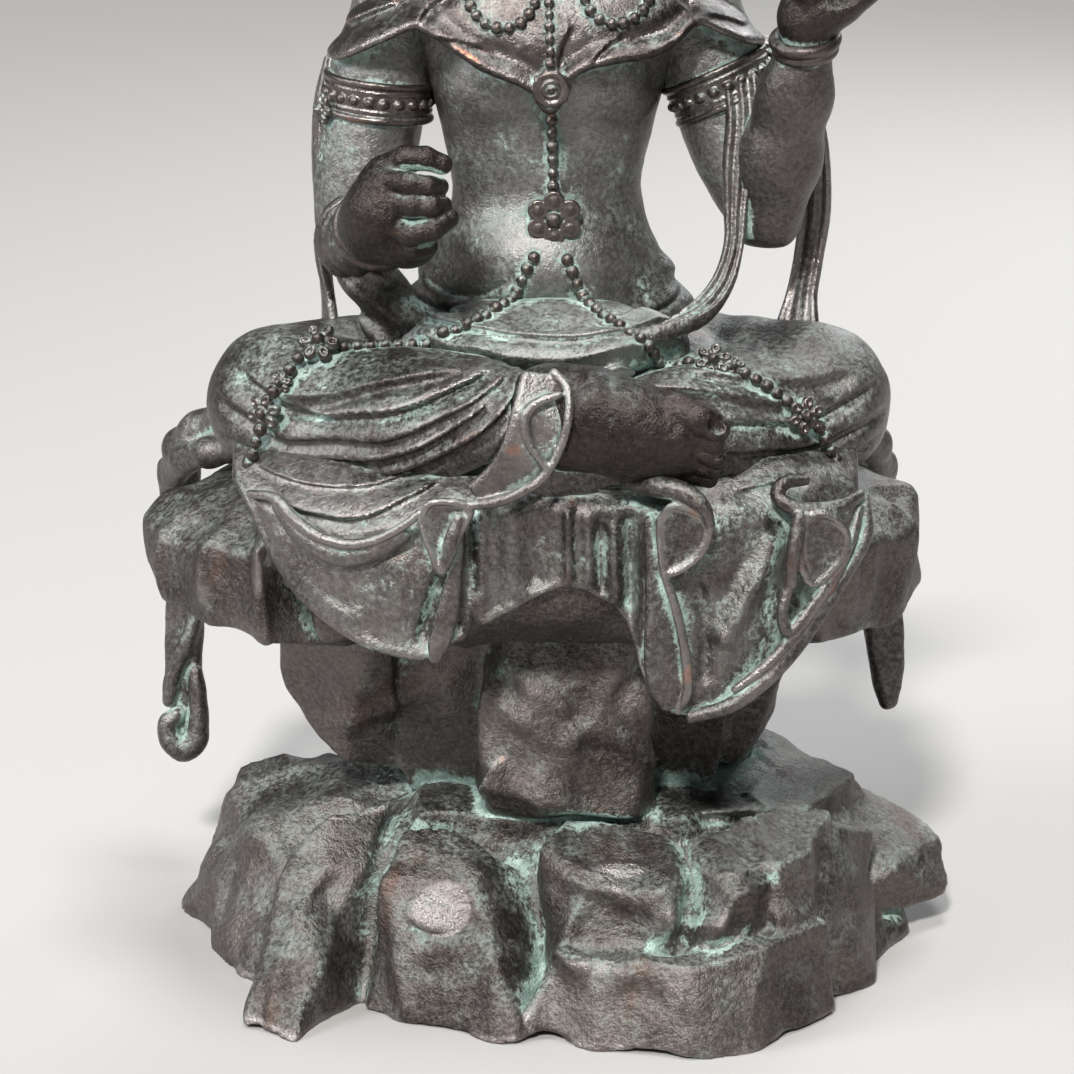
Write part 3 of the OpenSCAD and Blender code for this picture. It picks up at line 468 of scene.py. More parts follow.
def bronze(name, deep, lit, green, rough=0.42, worn=0.5, bumpy=1.0, shine=0.6):
    """Old cast bronze: two tones of brown, pale green salts in hollows and patches, copper on a few edges."""
    mat = bpy.data.materials.new(name)
    mat.use_nodes = True
    nt = mat.node_tree
    nt.nodes.clear()

    def node(kind, **kw):
        n = nt.nodes.new(kind)
        for k, v in kw.items():
            setattr(n, k, v)
        return n

    def wire(a, b):
        nt.links.new(a, b)

    def tex(size_mm, detail=4.0, rough_=0.55, warp=0.0):
        n = node("ShaderNodeTexNoise")
        n.inputs["Scale"].default_value = 1000.0 / size_mm
        n.inputs["Detail"].default_value = detail
        n.inputs["Roughness"].default_value = rough_
        n.inputs["Distortion"].default_value = warp
        wire(co.outputs["Object"], n.inputs["Vector"])
        return n.outputs["Fac"]

    def ramp(src, a, b, lo=0.0, hi=1.0):
        n = node("ShaderNodeMapRange", interpolation_type="SMOOTHSTEP")
        for k, v in zip(("From Min", "From Max", "To Min", "To Max"), (a, b, lo, hi)):
            n.inputs[k].default_value = v
        wire(src, n.inputs["Value"])
        return n.outputs["Result"]

    def calc(op, a, b, clamp=False):
        n = node("ShaderNodeMath", operation=op, use_clamp=clamp)
        for i, v in enumerate((a, b)):
            if isinstance(v, (int, float)):
                n.inputs[i].default_value = v
            else:
                wire(v, n.inputs[i])
        return n.outputs[0]

    def mix(fac, a, b):
        n = node("ShaderNodeMix", data_type="RGBA")
        for i, v in ((0, fac), (6, a), (7, b)):
            if isinstance(v, (int, float)):
                n.inputs[i].default_value = v
            elif isinstance(v, tuple):
                n.inputs[i].default_value = (*v, 1)
            else:
                wire(v, n.inputs[i])
        return n.outputs[2]

    co = node("ShaderNodeTexCoord")
    hollow = node("ShaderNodeAttribute", attribute_name="hollow").outputs["Fac"]
    edge = node("ShaderNodeAttribute", attribute_name="edge").outputs["Fac"]
    geo = node("ShaderNodeNewGeometry")
    up = node("ShaderNodeSeparateXYZ")
    wire(geo.outputs["Normal"], up.inputs[0])
    # how far the surface faces up, used for dust and for painted light on the tops
    top_light_and_dust = up.outputs["Z"]
    grain, fleck, patch, cloud = tex(0.55, 2, 0.6), tex(1.3, 4, 0.7), tex(9, 5, 0.62, 0.4), tex(34, 3, 0.5)

    # base metal: dark brown, greyer and lighter in clouds, never even
    tone = calc("ADD", calc("MULTIPLY", ramp(cloud, 0.35, 0.65), 0.55),
        calc("MULTIPLY", ramp(fleck, 0.38, 0.66), 0.45))
    tone = calc("ADD", tone, calc("MULTIPLY", calc("SUBTRACT", grain, 0.5), 0.9), True)
    metal = mix(tone, deep, lit)
    rubbed = ramp(calc("ADD", edge, calc("MULTIPLY", patch, 0.35)), 0.40, 0.80)
    metal = mix(calc("MULTIPLY", rubbed, shine), metal, (0.36, 0.32, 0.31))
    copper = calc("MULTIPLY", ramp(edge, 0.30, 0.55), ramp(tex(16, 2, 0.5, 0.6), 0.68 - 0.10 * worn, 0.74))
    metal = mix(copper, metal, (0.46, 0.19, 0.11))
    metal = mix(calc("MULTIPLY", ramp(tex(26, 3, 0.6, 0.8), 0.62, 0.75), 0.45), metal, (0.13, 0.065, 0.045))

    # a thin grey-green film in specks over most of it, and thick pale salts in the hollows; both lie thicker
    # on up-facing surfaces, as dust and as painted light that makes the tops paler
    film_and_top_light = calc("ADD", calc("MULTIPLY", patch, 0.9), calc("MULTIPLY", hollow, 0.5))
    # up-facing surfaces get more film: dust, and painted light on the tops
    film_and_top_light = calc("ADD", film_and_top_light, calc("MULTIPLY", ramp(top_light_and_dust, -0.2, 1.0), 0.22))
    film_and_top_light = calc("MULTIPLY", ramp(film_and_top_light, 0.62 - 0.2 * green, 1.02 - 0.2 * green),
        ramp(fleck, 0.40, 0.60, 0.15, 0.75))
    colour = mix(film_and_top_light, metal, (0.31, 0.36, 0.33))
    # up-facing surfaces get a little more salt: dust, and painted light on the tops
    deposit_and_top_light = calc("ADD", calc("MULTIPLY", hollow, 1.25), calc("MULTIPLY", ramp(top_light_and_dust, 0.0, 1.0), 0.12))
    deposit_and_top_light = calc("ADD", deposit_and_top_light, calc("MULTIPLY", calc("SUBTRACT", patch, 0.5), 1.3))
    deposit_and_top_light = calc("ADD", deposit_and_top_light, calc("MULTIPLY", calc("SUBTRACT", fleck, 0.5), 1.3))
    salts = ramp(deposit_and_top_light, 0.60 - 0.22 * green, 0.95 - 0.22 * green, 0, 0.92)
    salts = calc("MULTIPLY", salts, calc("SUBTRACT", 1.0, ramp(edge, 0.25, 0.6)))
    salts = calc("MULTIPLY", salts, ramp(grain, 0.28, 0.55, 0.45, 1.0))
    salt_colour = mix(ramp(tex(4, 3), 0.35, 0.7), (0.24, 0.34, 0.31), (0.52, 0.68, 0.62))
    colour = mix(salts, colour, salt_colour)
    cover = calc("ADD", calc("MULTIPLY", film_and_top_light, 0.5), salts, True)

    sh = node("ShaderNodeBsdfPrincipled")
    wire(colour, sh.inputs["Base Color"])
    wire(calc("SUBTRACT", 0.92, calc("MULTIPLY", cover, 0.9), True), sh.inputs["Metallic"])
    r = calc("ADD", calc("MULTIPLY", fleck, 0.3), rough - 0.15)
    r = calc("ADD", r, calc("MULTIPLY", cover, 0.4))
    r = calc("SUBTRACT", r, calc("MULTIPLY", rubbed, 0.12), True)
    wire(r, sh.inputs["Roughness"])
    height = calc("ADD", calc("MULTIPLY", grain, 0.35), calc("MULTIPLY", fleck, 0.75))
    height = calc("ADD", height, calc("MULTIPLY", tex(2.8, 4, 0.6), 0.8))
    height = calc("ADD", height, calc("MULTIPLY", salts, 0.3))
    b = node("ShaderNodeBump")
    b.inputs["Strength"].default_value = 0.8 * bumpy
    b.inputs["Distance"].default_value = 0.0006
    wire(height, b.inputs["Height"])
    wire(b.outputs["Normal"], sh.inputs["Normal"])
    out = node("ShaderNodeOutputMaterial")
    wire(sh.outputs[0], out.inputs[0])
    return mat


def machined(name, colour, rough):
    """Turned or cut metal: fine streaks and a little tarnish."""
    mat = bpy.data.materials.new(name)
    mat.use_nodes = True
    nt = mat.node_tree
    sh = nt.nodes["Principled BSDF"]
    co = nt.nodes.new("ShaderNodeTexCoord")
    sq = nt.nodes.new("ShaderNodeMapping")
    sq.inputs["Scale"].default_value = (300, 300, 4000)
    nz = nt.nodes.new("ShaderNodeTexNoise")
    nz.inputs["Scale"].default_value = 1.0
    cr = nt.nodes.new("ShaderNodeValToRGB")
    cr.color_ramp.elements[0].position, cr.color_ramp.elements[1].position = 0.3, 0.7
    cr.color_ramp.elements[0].color = (*[v * 0.6 for v in colour], 1)
    cr.color_ramp.elements[1].color = (*colour, 1)
    bp = nt.nodes.new("ShaderNodeBump")
    bp.inputs["Strength"].default_value = 0.2
    bp.inputs["Distance"].default_value = 0.0001
    for a, b in ((co.outputs["Object"], sq.inputs["Vector"]), (sq.outputs[0], nz.inputs["Vector"]),
                 (nz.outputs["Fac"], cr.inputs["Fac"]), (cr.outputs["Color"], sh.inputs["Base Color"]),
                 (nz.outputs["Fac"], bp.inputs["Height"]), (bp.outputs["Normal"], sh.inputs["Normal"])):
        nt.links.new(a, b)
    sh.inputs["Metallic"].default_value = 1.0
    sh.inputs["Roughness"].default_value = rough
    return mat


ROCK = ("rock_bronze", bronze("rock bronze", (0.050, 0.042, 0.038), (0.20, 0.175, 0.165), 0.60, 0.46,
    bumpy=1.15))
ROBE = ("robe_bronze", bronze("robe bronze", (0.060, 0.052, 0.050), (0.23, 0.21, 0.20), 0.62, 0.42,
    bumpy=0.8))
SKIN = ("skin_bronze", bronze("skin bronze", (0.045, 0.038, 0.036), (0.17, 0.15, 0.145), 0.40, 0.42,
    bumpy=0.7))
DARK = ("skin_bronze", bronze("dark bronze", (0.022, 0.018, 0.017), (0.075, 0.062, 0.058), 0.05, 0.40,
    worn=0.9, bumpy=1.1, shine=0.25))
JEWEL = ("jewel_bronze", bronze("jewel bronze", (0.045, 0.036, 0.033), (0.15, 0.125, 0.115), 0.30, 0.42,
    worn=0.4, bumpy=0.5, shine=0.15))
PALE = bronze("pale bronze", (0.10, 0.094, 0.09), (0.32, 0.305, 0.295), 0.95, 0.46, bumpy=0.75, shine=0.5)
PALE_CLOTH, PALE_SKIN = ("robe_bronze", PALE), ("skin_bronze", PALE)
CAPE_METAL = ("robe_bronze", bronze("cape bronze", (0.032, 0.027, 0.026), (0.12, 0.102, 0.096), 0.22, 0.38,
    worn=0.8, bumpy=0.7, shine=0.45))
HAIR = ("hair_bronze", bronze("hair bronze", (0.035, 0.029, 0.027), (0.12, 0.10, 0.095), 0.4, 0.44,
    bumpy=0.6))
STEEL = ("fixing_steel", machined("machined steel", (0.42, 0.42, 0.44), 0.32))
BRASS = ("fixing_brass", machined("machined brass", (0.60, 0.42, 0.18), 0.35))

# ---------------------------------------------------------------- the rock

FOOT = [(-74, 8), (-64, -20), (-54, -44), (-34, -46), (-8, -54), (30, -60), (48, -48), (64, -28),
        (72, 0), (64, 28), (34, 48), (-8, 51), (-40, 46), (-64, 30)]
BASE = [
    [(-50, -30, 3), (50, -30, 3), (60, 30, 3), (-50, 40, 3), (-30, -28, 38), (30, -30, 38), (38, 20, 38),
     (-32, 24, 38)],
    # left block, then the thin fin that runs down to the floor beside it
    [(-89, 10, 3), (-78, -24, 3), (-60, -40, 3), (-50, 30, 3), (-75, 42, 3), (-87, 6, 12), (-76, 20, 29),
     (-58, 22, 34), (-35, 0, 38), (-72, -8, 27)],
    [(-69, -58, 3), (-60, -62, 3), (-48, -44, 3), (-68, -25, 3), (-60, -34, 30), (-54, -30, 36),
     (-42, -26, 37), (-46, -34, 30)],
    # the mass under the worn oval
    [(-42, -50, 3), (-22, -62, 3), (-9, -66, 3), (-40, -46, 20), (-37, -44, 29), (-20, -49, 29),
     (-15, -54, 20), (-8, -56, 12), (-12, -40, 34), (-34, -36, 34), (-40, -30, 3), (0, -40, 3)],
    # the middle lump with its sharp brow
    [(-1, -46, 36), (6, -55, 32), (25, -58, 32), (30, -54, 34), (28, -44, 38), (4, -38, 38), (3, -58, 15),
     (26, -62, 17), (0, -44, 8), (28, -40, 8)],
    # a wedge and a narrow strip standing beside it
    [(31, -58, 24), (40, -61, 33), (48, -54, 34), (50, -50, 24), (34, -48, 37), (46, -42, 38),
     (32, -61, 18), (49, -50, 12)],
    [(51, -51, 36), (57, -48, 37), (54, -54, 19), (58, -51, 17), (50, -36, 38), (62, -30, 37),
     (60, -40, 8), (50, -48, 10)],
    # the long bench along the bottom
    [(-4, -66, 3), (12, -70, 3), (30, -75, 3), (47, -69, 3), (2, -60, 18), (14, -65, 18), (30, -69, 18),
     (46, -64, 19), (60, -52, 20), (62, -54, 3), (10, -40, 20), (50, -36, 20)],
    [(56, -52, 3), (73, -36, 3), (61, -46, 20), (67, -34, 30), (60, -36, 36), (73, -20, 30),
     (50, -20, 37), (50, -30, 3)],
    [(70, -30, 3), (83, -6, 3), (79, 30, 3), (50, 40, 3), (40, 0, 3), (62, -6, 33), (52, 14, 36),
     (73, 12, 29)],
    [(66, -20, 12), (91, -5, 11), (92, 3, 17), (85, 10, 21), (60, 28, 27), (60, 0, 31), (83, -12, 19)],
    [(-78, 38, 3), (-40, 60, 3), (0, 63, 3), (0, 20, 3), (-60, 20, 3), (-50, 46, 25), (-20, 48, 31),
     (-30, 24, 38)],
    [(0, 63, 3), (40, 60, 3), (70, 38, 3), (60, 10, 3), (0, 10, 3), (20, 50, 29), (46, 42, 27),
     (20, 24, 38)],
    [(36, -22, 37), (60, -16, 36), (70, 6, 33), (56, 28, 34), (34, 32, 37), (40, 0, 8), (66, 0, 8),
     (50, 24, 8)],
    # the body of the mound behind the front lumps
    [(-68, 8, 3), (-54, -42, 3), (30, -56, 3), (68, 0, 3), (34, 46, 3), (-40, 44, 3), (-60, 6, 22),
     (-44, -34, 24), (26, -44, 24), (58, 0, 24), (30, 38, 24), (-36, 36, 24), (-36, -27, 34),
     (38, -27, 34), (38, 28, 34), (-36, 28, 34)],
]
COLUMN = [
    [(-34, -8, 40), (36, -8, 40), (38, 26, 40), (-34, 28, 40), (-46, -20, 90), (46, -20, 90),
     (48, 32, 90), (-46, 34, 90), (-34, -9, 58), (34, -9, 58)],
    [(-14, -33, 46), (18, -34, 44), (20, -22, 40), (-16, -22, 40), (-16, -31, 66), (-6, -36, 70),
     (20, -30, 70), (-6, -30, 88), (16, -30, 86), (-14, -4, 46), (18, -4, 46), (-12, -8, 86),
     (17, -8, 86)],
    [(-60, -8, 90), (-40, -28, 92), (-64, 12, 88), (-62, -4, 64), (-50, -12, 49), (-40, -10, 47),
     (-34, 14, 46), (-52, 14, 52)],
    [(30, -22, 92), (56, -8, 90), (52, 20, 90), (32, -9, 56), (43, -6, 46), (46, 12, 42), (30, 10, 40),
     (50, -6, 62)],
    # a chip of rock low on the front block
    [(-14, -36, 50), (2, -37, 46), (14, -30, 44), (-12, -28, 44), (-4, -34, 60)],
]
TOP = 116.4
SHELF = [
    [(-60, -40, TOP), (60, -40, TOP), (62, 38, TOP), (-58, 40, TOP), (-28, -53, 108), (30, -53, 108),
     (-50, -44, 92), (46, -42, 90), (50, 34, 90), (-50, 36, 90), (0, -52, 98), (0, 50, 112)],
    [(-96, -6, 108), (-96, -8, 99), (-88, -24, 106), (-86, -26, 93), (-68, -42, 110), (-66, -42, 92),
     (-50, -28, 87), (-54, 18, 87), (-78, 15, 96), (-84, 13, 105), (-58, 34, 109), (-62, -28, TOP),
     (-66, 16, TOP)],
    [(84, -4, 111), (84, -8, 94), (80, -26, 108), (77, -26, 90), (62, -44, 110), (60, -42, 92),
     (50, -30, 86), (50, 18, 87), (72, 14, 92), (76, 13, 106), (58, 32, 109), (62, -28, TOP),
     (62, 14, TOP)],
    [(-52, 40, 112), (46, 38, 112), (-46, 42, 96), (40, 42, 94), (-20, 48, 110), (20, 48, 108),
     (0, 30, 88)],
]
BASE_H, COLUMN_H, SHELF_H = ([(b, planes_of(b)) for b in g] for g in (BASE, COLUMN, SHELF))


# middles of the rock's broad hollows that face the front; the rest are scattered
FACETS = [(-88, 6, 14), (-78, -18, 14), (-68, 4, 32), (-50, -20, 34), (-68, -52, 10), (-46, -46, 16),
          (-26, -47, 25), (-26, -62, 8), (-2, -54, 27), (-3, -66, 10), (-16, -36, 36), (14, -52, 34),
          (12, -60, 23), (35, -57, 32), (46, -50, 31), (22, -73, 9), (32, -66, 21), (54, -45, 32),
          (58, -56, 10), (62, -14, 36), (70, -30, 22), (88, -6, 24), (86, -8, 8)]
BASE_CELLS = FACETS + [p for p in scatter((-92, -44, 0), (92, 66, 44), 29, 3) if p[1] > -14]
COLUMN_CELLS = [(0, -38, 74), (12, -34, 52), (20, -28, 66), (-14, -34, 56), (-46, -16, 72),
                (-40, -14, 52), (40, -14, 70), (48, -8, 84)]
COLUMN_CELLS += [p for p in scatter((-68, -10, 38), (62, 40, 96), 30, 5) if p[1] > 4]
SHELF_CELLS = [(-98, -10, 104), (-90, -30, 106), (-76, -42, 106), (-62, -50, 104), (86, -12, 106),
    (82, -32, 106), (70, -46, 106), (-44, -50, 98), (46, -48, 98),
    (0, -54, 104)] + [p for p in scatter((-98, -40, 84), (90, 56, 120), 27, 8) if p[1] > -6]


def crease(P, path, deep, wide):
    """A worn groove cut along a line in space, or a ridge when deep is negative."""
    c = curve(path, 4)
    d = near(P, [(*p, wide) for p in c], lambda Q: np.minimum.reduce([cone(Q, (*a, 0), (*b, 0)) for a,
        b in zip(c, c[1:])]), wide * 2)
    return deep * np.exp(-(np.clip(d, 0, 60) / wide) ** 1.5)


# long ridges and gullies over the mound's front: path, depth (a ridge when negative), width
LINES = [
    ([(-54, -36, 32), (-62, -48, 19), (-67, -62, 4)], -1.2, 2.0),
    ([(-53, -42, 27), (-46, -46, 16), (-43, -57, 3)], 3.0, 5.0),
    ([(-39, -45, 28), (-38, -53, 14), (-35, -60, 3)], -1.2, 2.4),
    ([(-72, -20, 22), (-66, -40, 12), (-72, -46, 2)], 1.6, 4.0),
    ([(-18, -32, 40), (-13, -46, 31), (-5, -54, 21), (0, -63, 15), (-2, -69, 3)], 2.8, 4.0),
    ([(-3, -38, 38), (6, -53, 36), (14, -57, 33), (24, -57, 35)], -1.3, 1.6),
    ([(4, -57, 30), (14, -60, 27), (24, -60, 28)], 1.6, 3.0),
    ([(23, -32, 41), (30, -52, 37), (30, -58, 30), (28, -64, 21)], 2.2, 2.4),
    ([(34, -55, 37), (41, -57, 38), (49, -50, 39)], -1.2, 1.6),
    ([(41, -58, 38), (38, -60, 30), (33, -62, 22)], -1.2, 1.8),
    ([(50, -50, 38), (50, -57, 30), (47, -60, 24)], 1.8, 1.8),
    ([(58, -46, 38), (60, -50, 28), (57, -54, 20)], -1.0, 1.6),
    ([(3, -65, 18), (26, -68, 19), (40, -66, 23), (52, -57, 27), (61, -48, 26)], -1.2, 2.0),
    ([(8, -61, 23), (26, -62, 23), (38, -61, 27)], 1.6, 3.0),
    ([(-78, 4, 27), (-86, -2, 14), (-84, -8, 5)], 1.8, 4.0),
    # over the back
    ([(-40, 30, 36), (-30, 48, 26), (-34, 62, 4)], 2.6, 5.0),
    ([(4, 34, 36), (12, 52, 22), (6, 64, 4)], 2.4, 4.5),
    ([(40, 20, 34), (50, 38, 20), (54, 48, 4)], 2.4, 4.5),
    ([(-12, 36, 36), (-10, 54, 22), (-16, 64, 4)], -1.8, 3.0),
]
SHELF_LINES = [
    ([(-30, 52, 116), (-24, 50, 92)], 2.6, 4.5),
    ([(10, 52, 116), (18, 50, 92)], 2.4, 4.5),
    ([(40, 46, 114), (36, 44, 92)], -1.8, 3.0),
    ([(-50, 48, 112), (0, 52, 103), (46, 46, 108)], -1.4, 3.0),
    ([(-94, -22, 116), (-93, -24, 92)], -1.2, 2.2),
    ([(-83, -36, 116), (-82, -38, 90)], -1.2, 2.2),
    ([(-69, -46, 116), (-68, -46, 90)], -1.2, 2.2),
    ([(80, -22, 116), (80, -24, 92)], -1.2, 2.2),
    ([(70, -42, 116), (70, -42, 90)], -1.2, 2.2),
]
COLUMN_LINES = [
    ([(-20, 32, 92), (-8, 30, 66), (-14, 28, 42)], 3.0, 5.0),
    ([(18, 32, 92), (24, 30, 68), (14, 28, 44)], -2.2, 4.0),
    ([(-46, 34, 74), (-16, 30, 62), (20, 30, 70), (46, 30, 58)], 2.4, 4.0),
    ([(-17, -33, 86), (-17, -34, 68), (-16, -34, 48)], -1.4, 2.4),
    ([(-10, -36, 80), (2, -38, 66), (4, -37, 50)], -1.6, 2.6),
    ([(2, -38, 66), (16, -35, 72), (22, -28, 84)], 1.4, 2.6),
    ([(22, -30, 46), (24, -29, 64), (22, -28, 84)], -1.2, 2.4),
]


def scooped(P, d, cells, deep, lines=()):
    """Broad thumbed hollows that meet in ridges, long ridges and gullies, and small unevenness between."""
    m = np.abs(d) < 9
    rear = 1 + 1.4 * step(-4, 22, P[1][m])
    w = tuple(c[m] + 3.0 * noise(tuple(e[m] for e in P), 16, k) for k, c in ((6, P[0]), (7, P[1]), (8, P[2])))
    s = -scoops(w, cells, deep) * rear
    for path, cut, wide in lines:
        s = s + crease(w, path, cut, wide)
    d[m] += s
    return d + 0.6 * noise(P, 12, 6) + 0.22 * noise(P, 4, 8) + grit(P)


def base_field(P):
    d = scooped(P, rock(P, BASE_H, 3.0, 1.0, 1.5), BASE_CELLS, 1.5, LINES)
    # two high spots worn to smooth ovals
    d = smin(d, egg(P, (-26, -49.6, 25), (9.5, 1.9, 6), -41), 0.5)
    d = smin(d, egg(P, (15, -53.6, 35.4), (8, 1.7, 3.6), -45), 0.5)
    d = smax(d, -P[2], 0.5)
    m = P[2] < 8
    if m.any():
        cut = np.maximum(poly2(P[0][m], P[1][m], FOOT) - PLATE_GAP, P[2][m] - PLATE_TOP)
        d[m] = np.maximum(d[m], -cut)
    return d


def column_field(P):
    return scooped(P, rock(P, COLUMN_H, 2.8, 1.2, 1.8), COLUMN_CELLS, 1.8, COLUMN_LINES)


def shelf_field(P):
    x, y, z = P
    d = scooped(P, rock(P, SHELF_H, 3.0, 1.8, 2.2), SHELF_CELLS, 2.2, SHELF_LINES)
    seat = np.hypot(np.maximum(np.abs(x) - 58, 0), np.maximum(np.abs(y + 1) - 36, 0)) - 10
    seat = np.maximum(np.maximum(seat, z - SEAT_Z), SOCKET_Z - z)
    d = smax(smin(d, seat, 2.0), z - SEAT_Z, 0.6)
    for px in (-PEG_X, PEG_X):
        hole = np.maximum(np.hypot(x - px, y - PEG_Y) - SOCKET_R, SOCKET_Z - z)
        d = np.maximum(d, -hole)
    return d


sculpt("rock.base", base_field, (-96, -81, -1), (99, 70, 44), 0.8, "pedestal", "base_rock", ROCK,
    beside=(column_field,), worn=[(-26, -50, 25, 8), (15, -54, 35.6, 6.5), (41, -57, 38, 3),
    (27, -73, 14, 3)])
sculpt("rock.column", column_field, (-71, -44, 34), (64, 42, 96), 0.8, "pedestal", "rock_column", ROCK,
    beside=(base_field, shelf_field))
sculpt("rock.shelf", shelf_field, (-104, -62, 78), (93, 58, 122), 0.8, "pedestal", "rock_shelf", ROCK,
    beside=(column_field,))

# ---------------------------------------------------------------- the figure: lap and robe


def legs(P):
    """The crossed legs under the cloth, before any folds."""
    d = chain(P, [(-18, 12, 19, 19), (18, 12, 19, 19)], 3)
    for s in (-1, 1):
        d = smin(d, cone(P, (s * 16, 12, 18, 17), (s * 61, -13, 17.6, 17.8)), 5)
    d = smin(d, chain(P, [(-40, -30, 12, 12), (0, -42, 12, 12), (40, -30, 12, 12)], 3), 5)
    d = smin(d, cone(P, (-26, -14, 20, 17), (26, -14, 20, 17)), 5)
    under = smin(d, chain(P, [(61, -15, 17.8, 17.8), (30, -38, 16, 15), (2, -46, 13, 12.5)], 5), 5)
    over = chain(P, [(-61, -15, 17.8, 17.8), (-30, -38, 20.6, 14.5), (1, -51, 25, 9.5)], 5)
    return smin(under, over, 1.6)


# folds of the cloth as seen from the front, (across, up); the right leg's all run to the ankle
RIGHT_PLEATS = [
    [(-72, 30), (-55, 23), (-42, 25), (-30, 28), (-19, 33), (-11, 36)],
    [(-77, 24), (-66, 19), (-59, 16), (-48, 18), (-36, 20), (-25, 25), (-16, 30), (-7, 36)],
    [(-77, 15), (-66, 12), (-55, 12), (-42, 14), (-30, 18), (-20, 24), (-11, 31)],
    [(-72, 9), (-62, 7), (-48, 8), (-36, 11), (-25, 16), (-16, 22), (-9, 29), (-5, 36)],
    [(-68, 4), (-54, 3), (-39, 5), (-28, 7), (-15, 14), (-10, 21), (-6, 31)],
]
LEFT_PLEATS = [
    [(36, 24), (48, 22), (58, 20), (66, 23), (77, 27)],
    [(38, 17), (50, 15), (60, 14), (69, 17), (79, 20)],
    [(38, 11), (50, 9), (60, 8), (70, 11), (78, 14)],
]


def lap_field(P):
    x, y, z = P
    d = legs(P)
    front = step(-4, -20, y)
    fold = np.zeros(x.shape, np.float32)
    for k, line in enumerate(RIGHT_PLEATS):
        fold += pleat(x, z, line, 1.9 - 0.3 * (k % 2), 3.0)
    for line in LEFT_PLEATS:
        fold += pleat(x, z, line, 1.5, 2.8)
    # the first crease on top of either thigh, drawn on a plane leaning back with the cloth
    lean = 0.75 * z + 0.66 * (y + 46)
    fold += pleat(x, lean, [(-64, 26), (-54, 23), (-42, 22), (-30, 22.6), (-18, 24)], 1.6, 2.8)
    fold += pleat(x, lean, [(14, 23), (26, 22), (40, 21.4), (54, 22), (66, 26)], 1.4, 2.8)
    fold += pleat(x, lean, [(30, 28), (44, 27), (58, 29), (70, 34)], 1.1, 3.0)
    # cloth wrapped round the backs of the thighs and over the knees
    round_knee = 0.7 * np.cos(z * 0.75 + np.abs(x) * 0.12) * step(44, 66, np.abs(x)) * step(-16, 0, y)
    back = 0.9 * np.cos((z + 0.25 * np.abs(x)) * 0.7) * step(4, 16, y)
    d = d - fold * front - round_knee - back
    d = d + 0.25 * noise(P, 6, 9) + grit(P, 0.8)
    return smax(d, 0.4 - z, 0.6)


def front_y(x):
    """Where the hanging cloth stands in front of the seat."""
    return -60.8 + 0.0012 * x * x + 6.2e-7 * x ** 4


EDGE_X = [-72, -68, -64, -58, -50, -42, -34, -29, -25, -21, -17, -12, -5, 1, 6, 12, 17, 20, 23, 28, 34,
          42, 50, 57, 63, 68, 73]
EDGE_Z = [6, 2, -7, -16, -22, -26, -28.5, -29.5, -28, -25, -24, -21, -17, -14, -13, -16, -19, -28, -38,
          -42, -43, -41, -35, -28, -20, -10, 2]
# the cloth's lower edge, sampled every half millimetre and rounded off
_ex = np.linspace(-76, 76, 305)
_ez = np.convolve(np.pad(np.interp(_ex, EDGE_X, EDGE_Z), 4, mode="edge"), np.ones(9) / 9, "valid")


def skirt_depth(x, z):
    """How far forward the cloth's face is: two swags with a fluted stretch between them."""
    y = front_y(x)
    y = y + 15 * np.clip((z - 1) / 12, 0, 2) ** 2
    left_in = step(-22, -17, x + 0.12 * z)
    right_in = 1 - step(19, 23, x - 0.06 * z)
    middle = left_in * right_in
    y = y + 4.2 * middle * step(9, 0, z)
    y = y - 2.4 * bump(x, -42, 15) * step(6, -12, z) - 1.8 * bump(x, 44, 13) * step(4, -14, z)
    return y


FLUTES = [
    ([(-9, 9), (-8, 0), (-8, -16)], 1.6, 3.0),
    ([(-14.4, 8), (-14.6, 0), (-15, -20)], 1.4, 2.0),
    ([(-2, 10), (-2, -2), (-3, -14)], -1.2, 2.4),
    ([(4.4, 8), (4.7, 0), (4.8, -13)], 2.2, 1.3),
    ([(9, 7), (9, -2), (9.4, -14)], 1.4, 1.8),
    ([(14.6, 4), (15, -4), (16, -18)], 1.9, 1.8),
    ([(12, 5), (12, -4), (12.4, -16)], -1.2, 1.2),
    ([(18, 6), (18.6, -6), (19, -20)], -1.8, 1.5),
    ([(-18.4, 4), (-18, -8), (-19, -22)], -1.6, 1.4),
]
SWAG_LINES = [
    ([(52, 0), (48, -9), (43, -18), (38, -27)], 2.3, 3.0),
    ([(54, -3), (53.6, -12), (55, -22)], -2.0, 1.8),
    ([(45, -3), (41, -12), (36, -22)], -0.9, 2.6),
    ([(33, -9), (35.4, -22), (35, -36)], -1.4, 1.8),
    ([(38, 9), (45, 4), (52, 2)], 1.4, 1.8),
    ([(-62, 0), (-57, -9), (-49, -16), (-40, -21)], 1.2, 2.8),
    ([(-59, -4), (-52, -13), (-42, -18)], -0.9, 2.0),
    ([(-34, -2), (-33, -12), (-34, -24)], 0.7, 3.5),
    ([(-22, -4), (-25, -14), (-29, -26)], -2.0, 1.4),
]


# the lap's pleats running on over the top of the hanging cloth
UPPER_PLEATS = [
    [(-68, 10), (-54, 8.6), (-40, 9.4), (-28, 12.6)],
    [(-64, 5), (-52, 3.4), (-42, 3.6), (-32, 7.4), (-22, 11.6)],
    [(4, 11), (14, 9), (26, 9.4), (38, 11)],
    [(40, 8), (50, 9), (60, 8.4)],
]


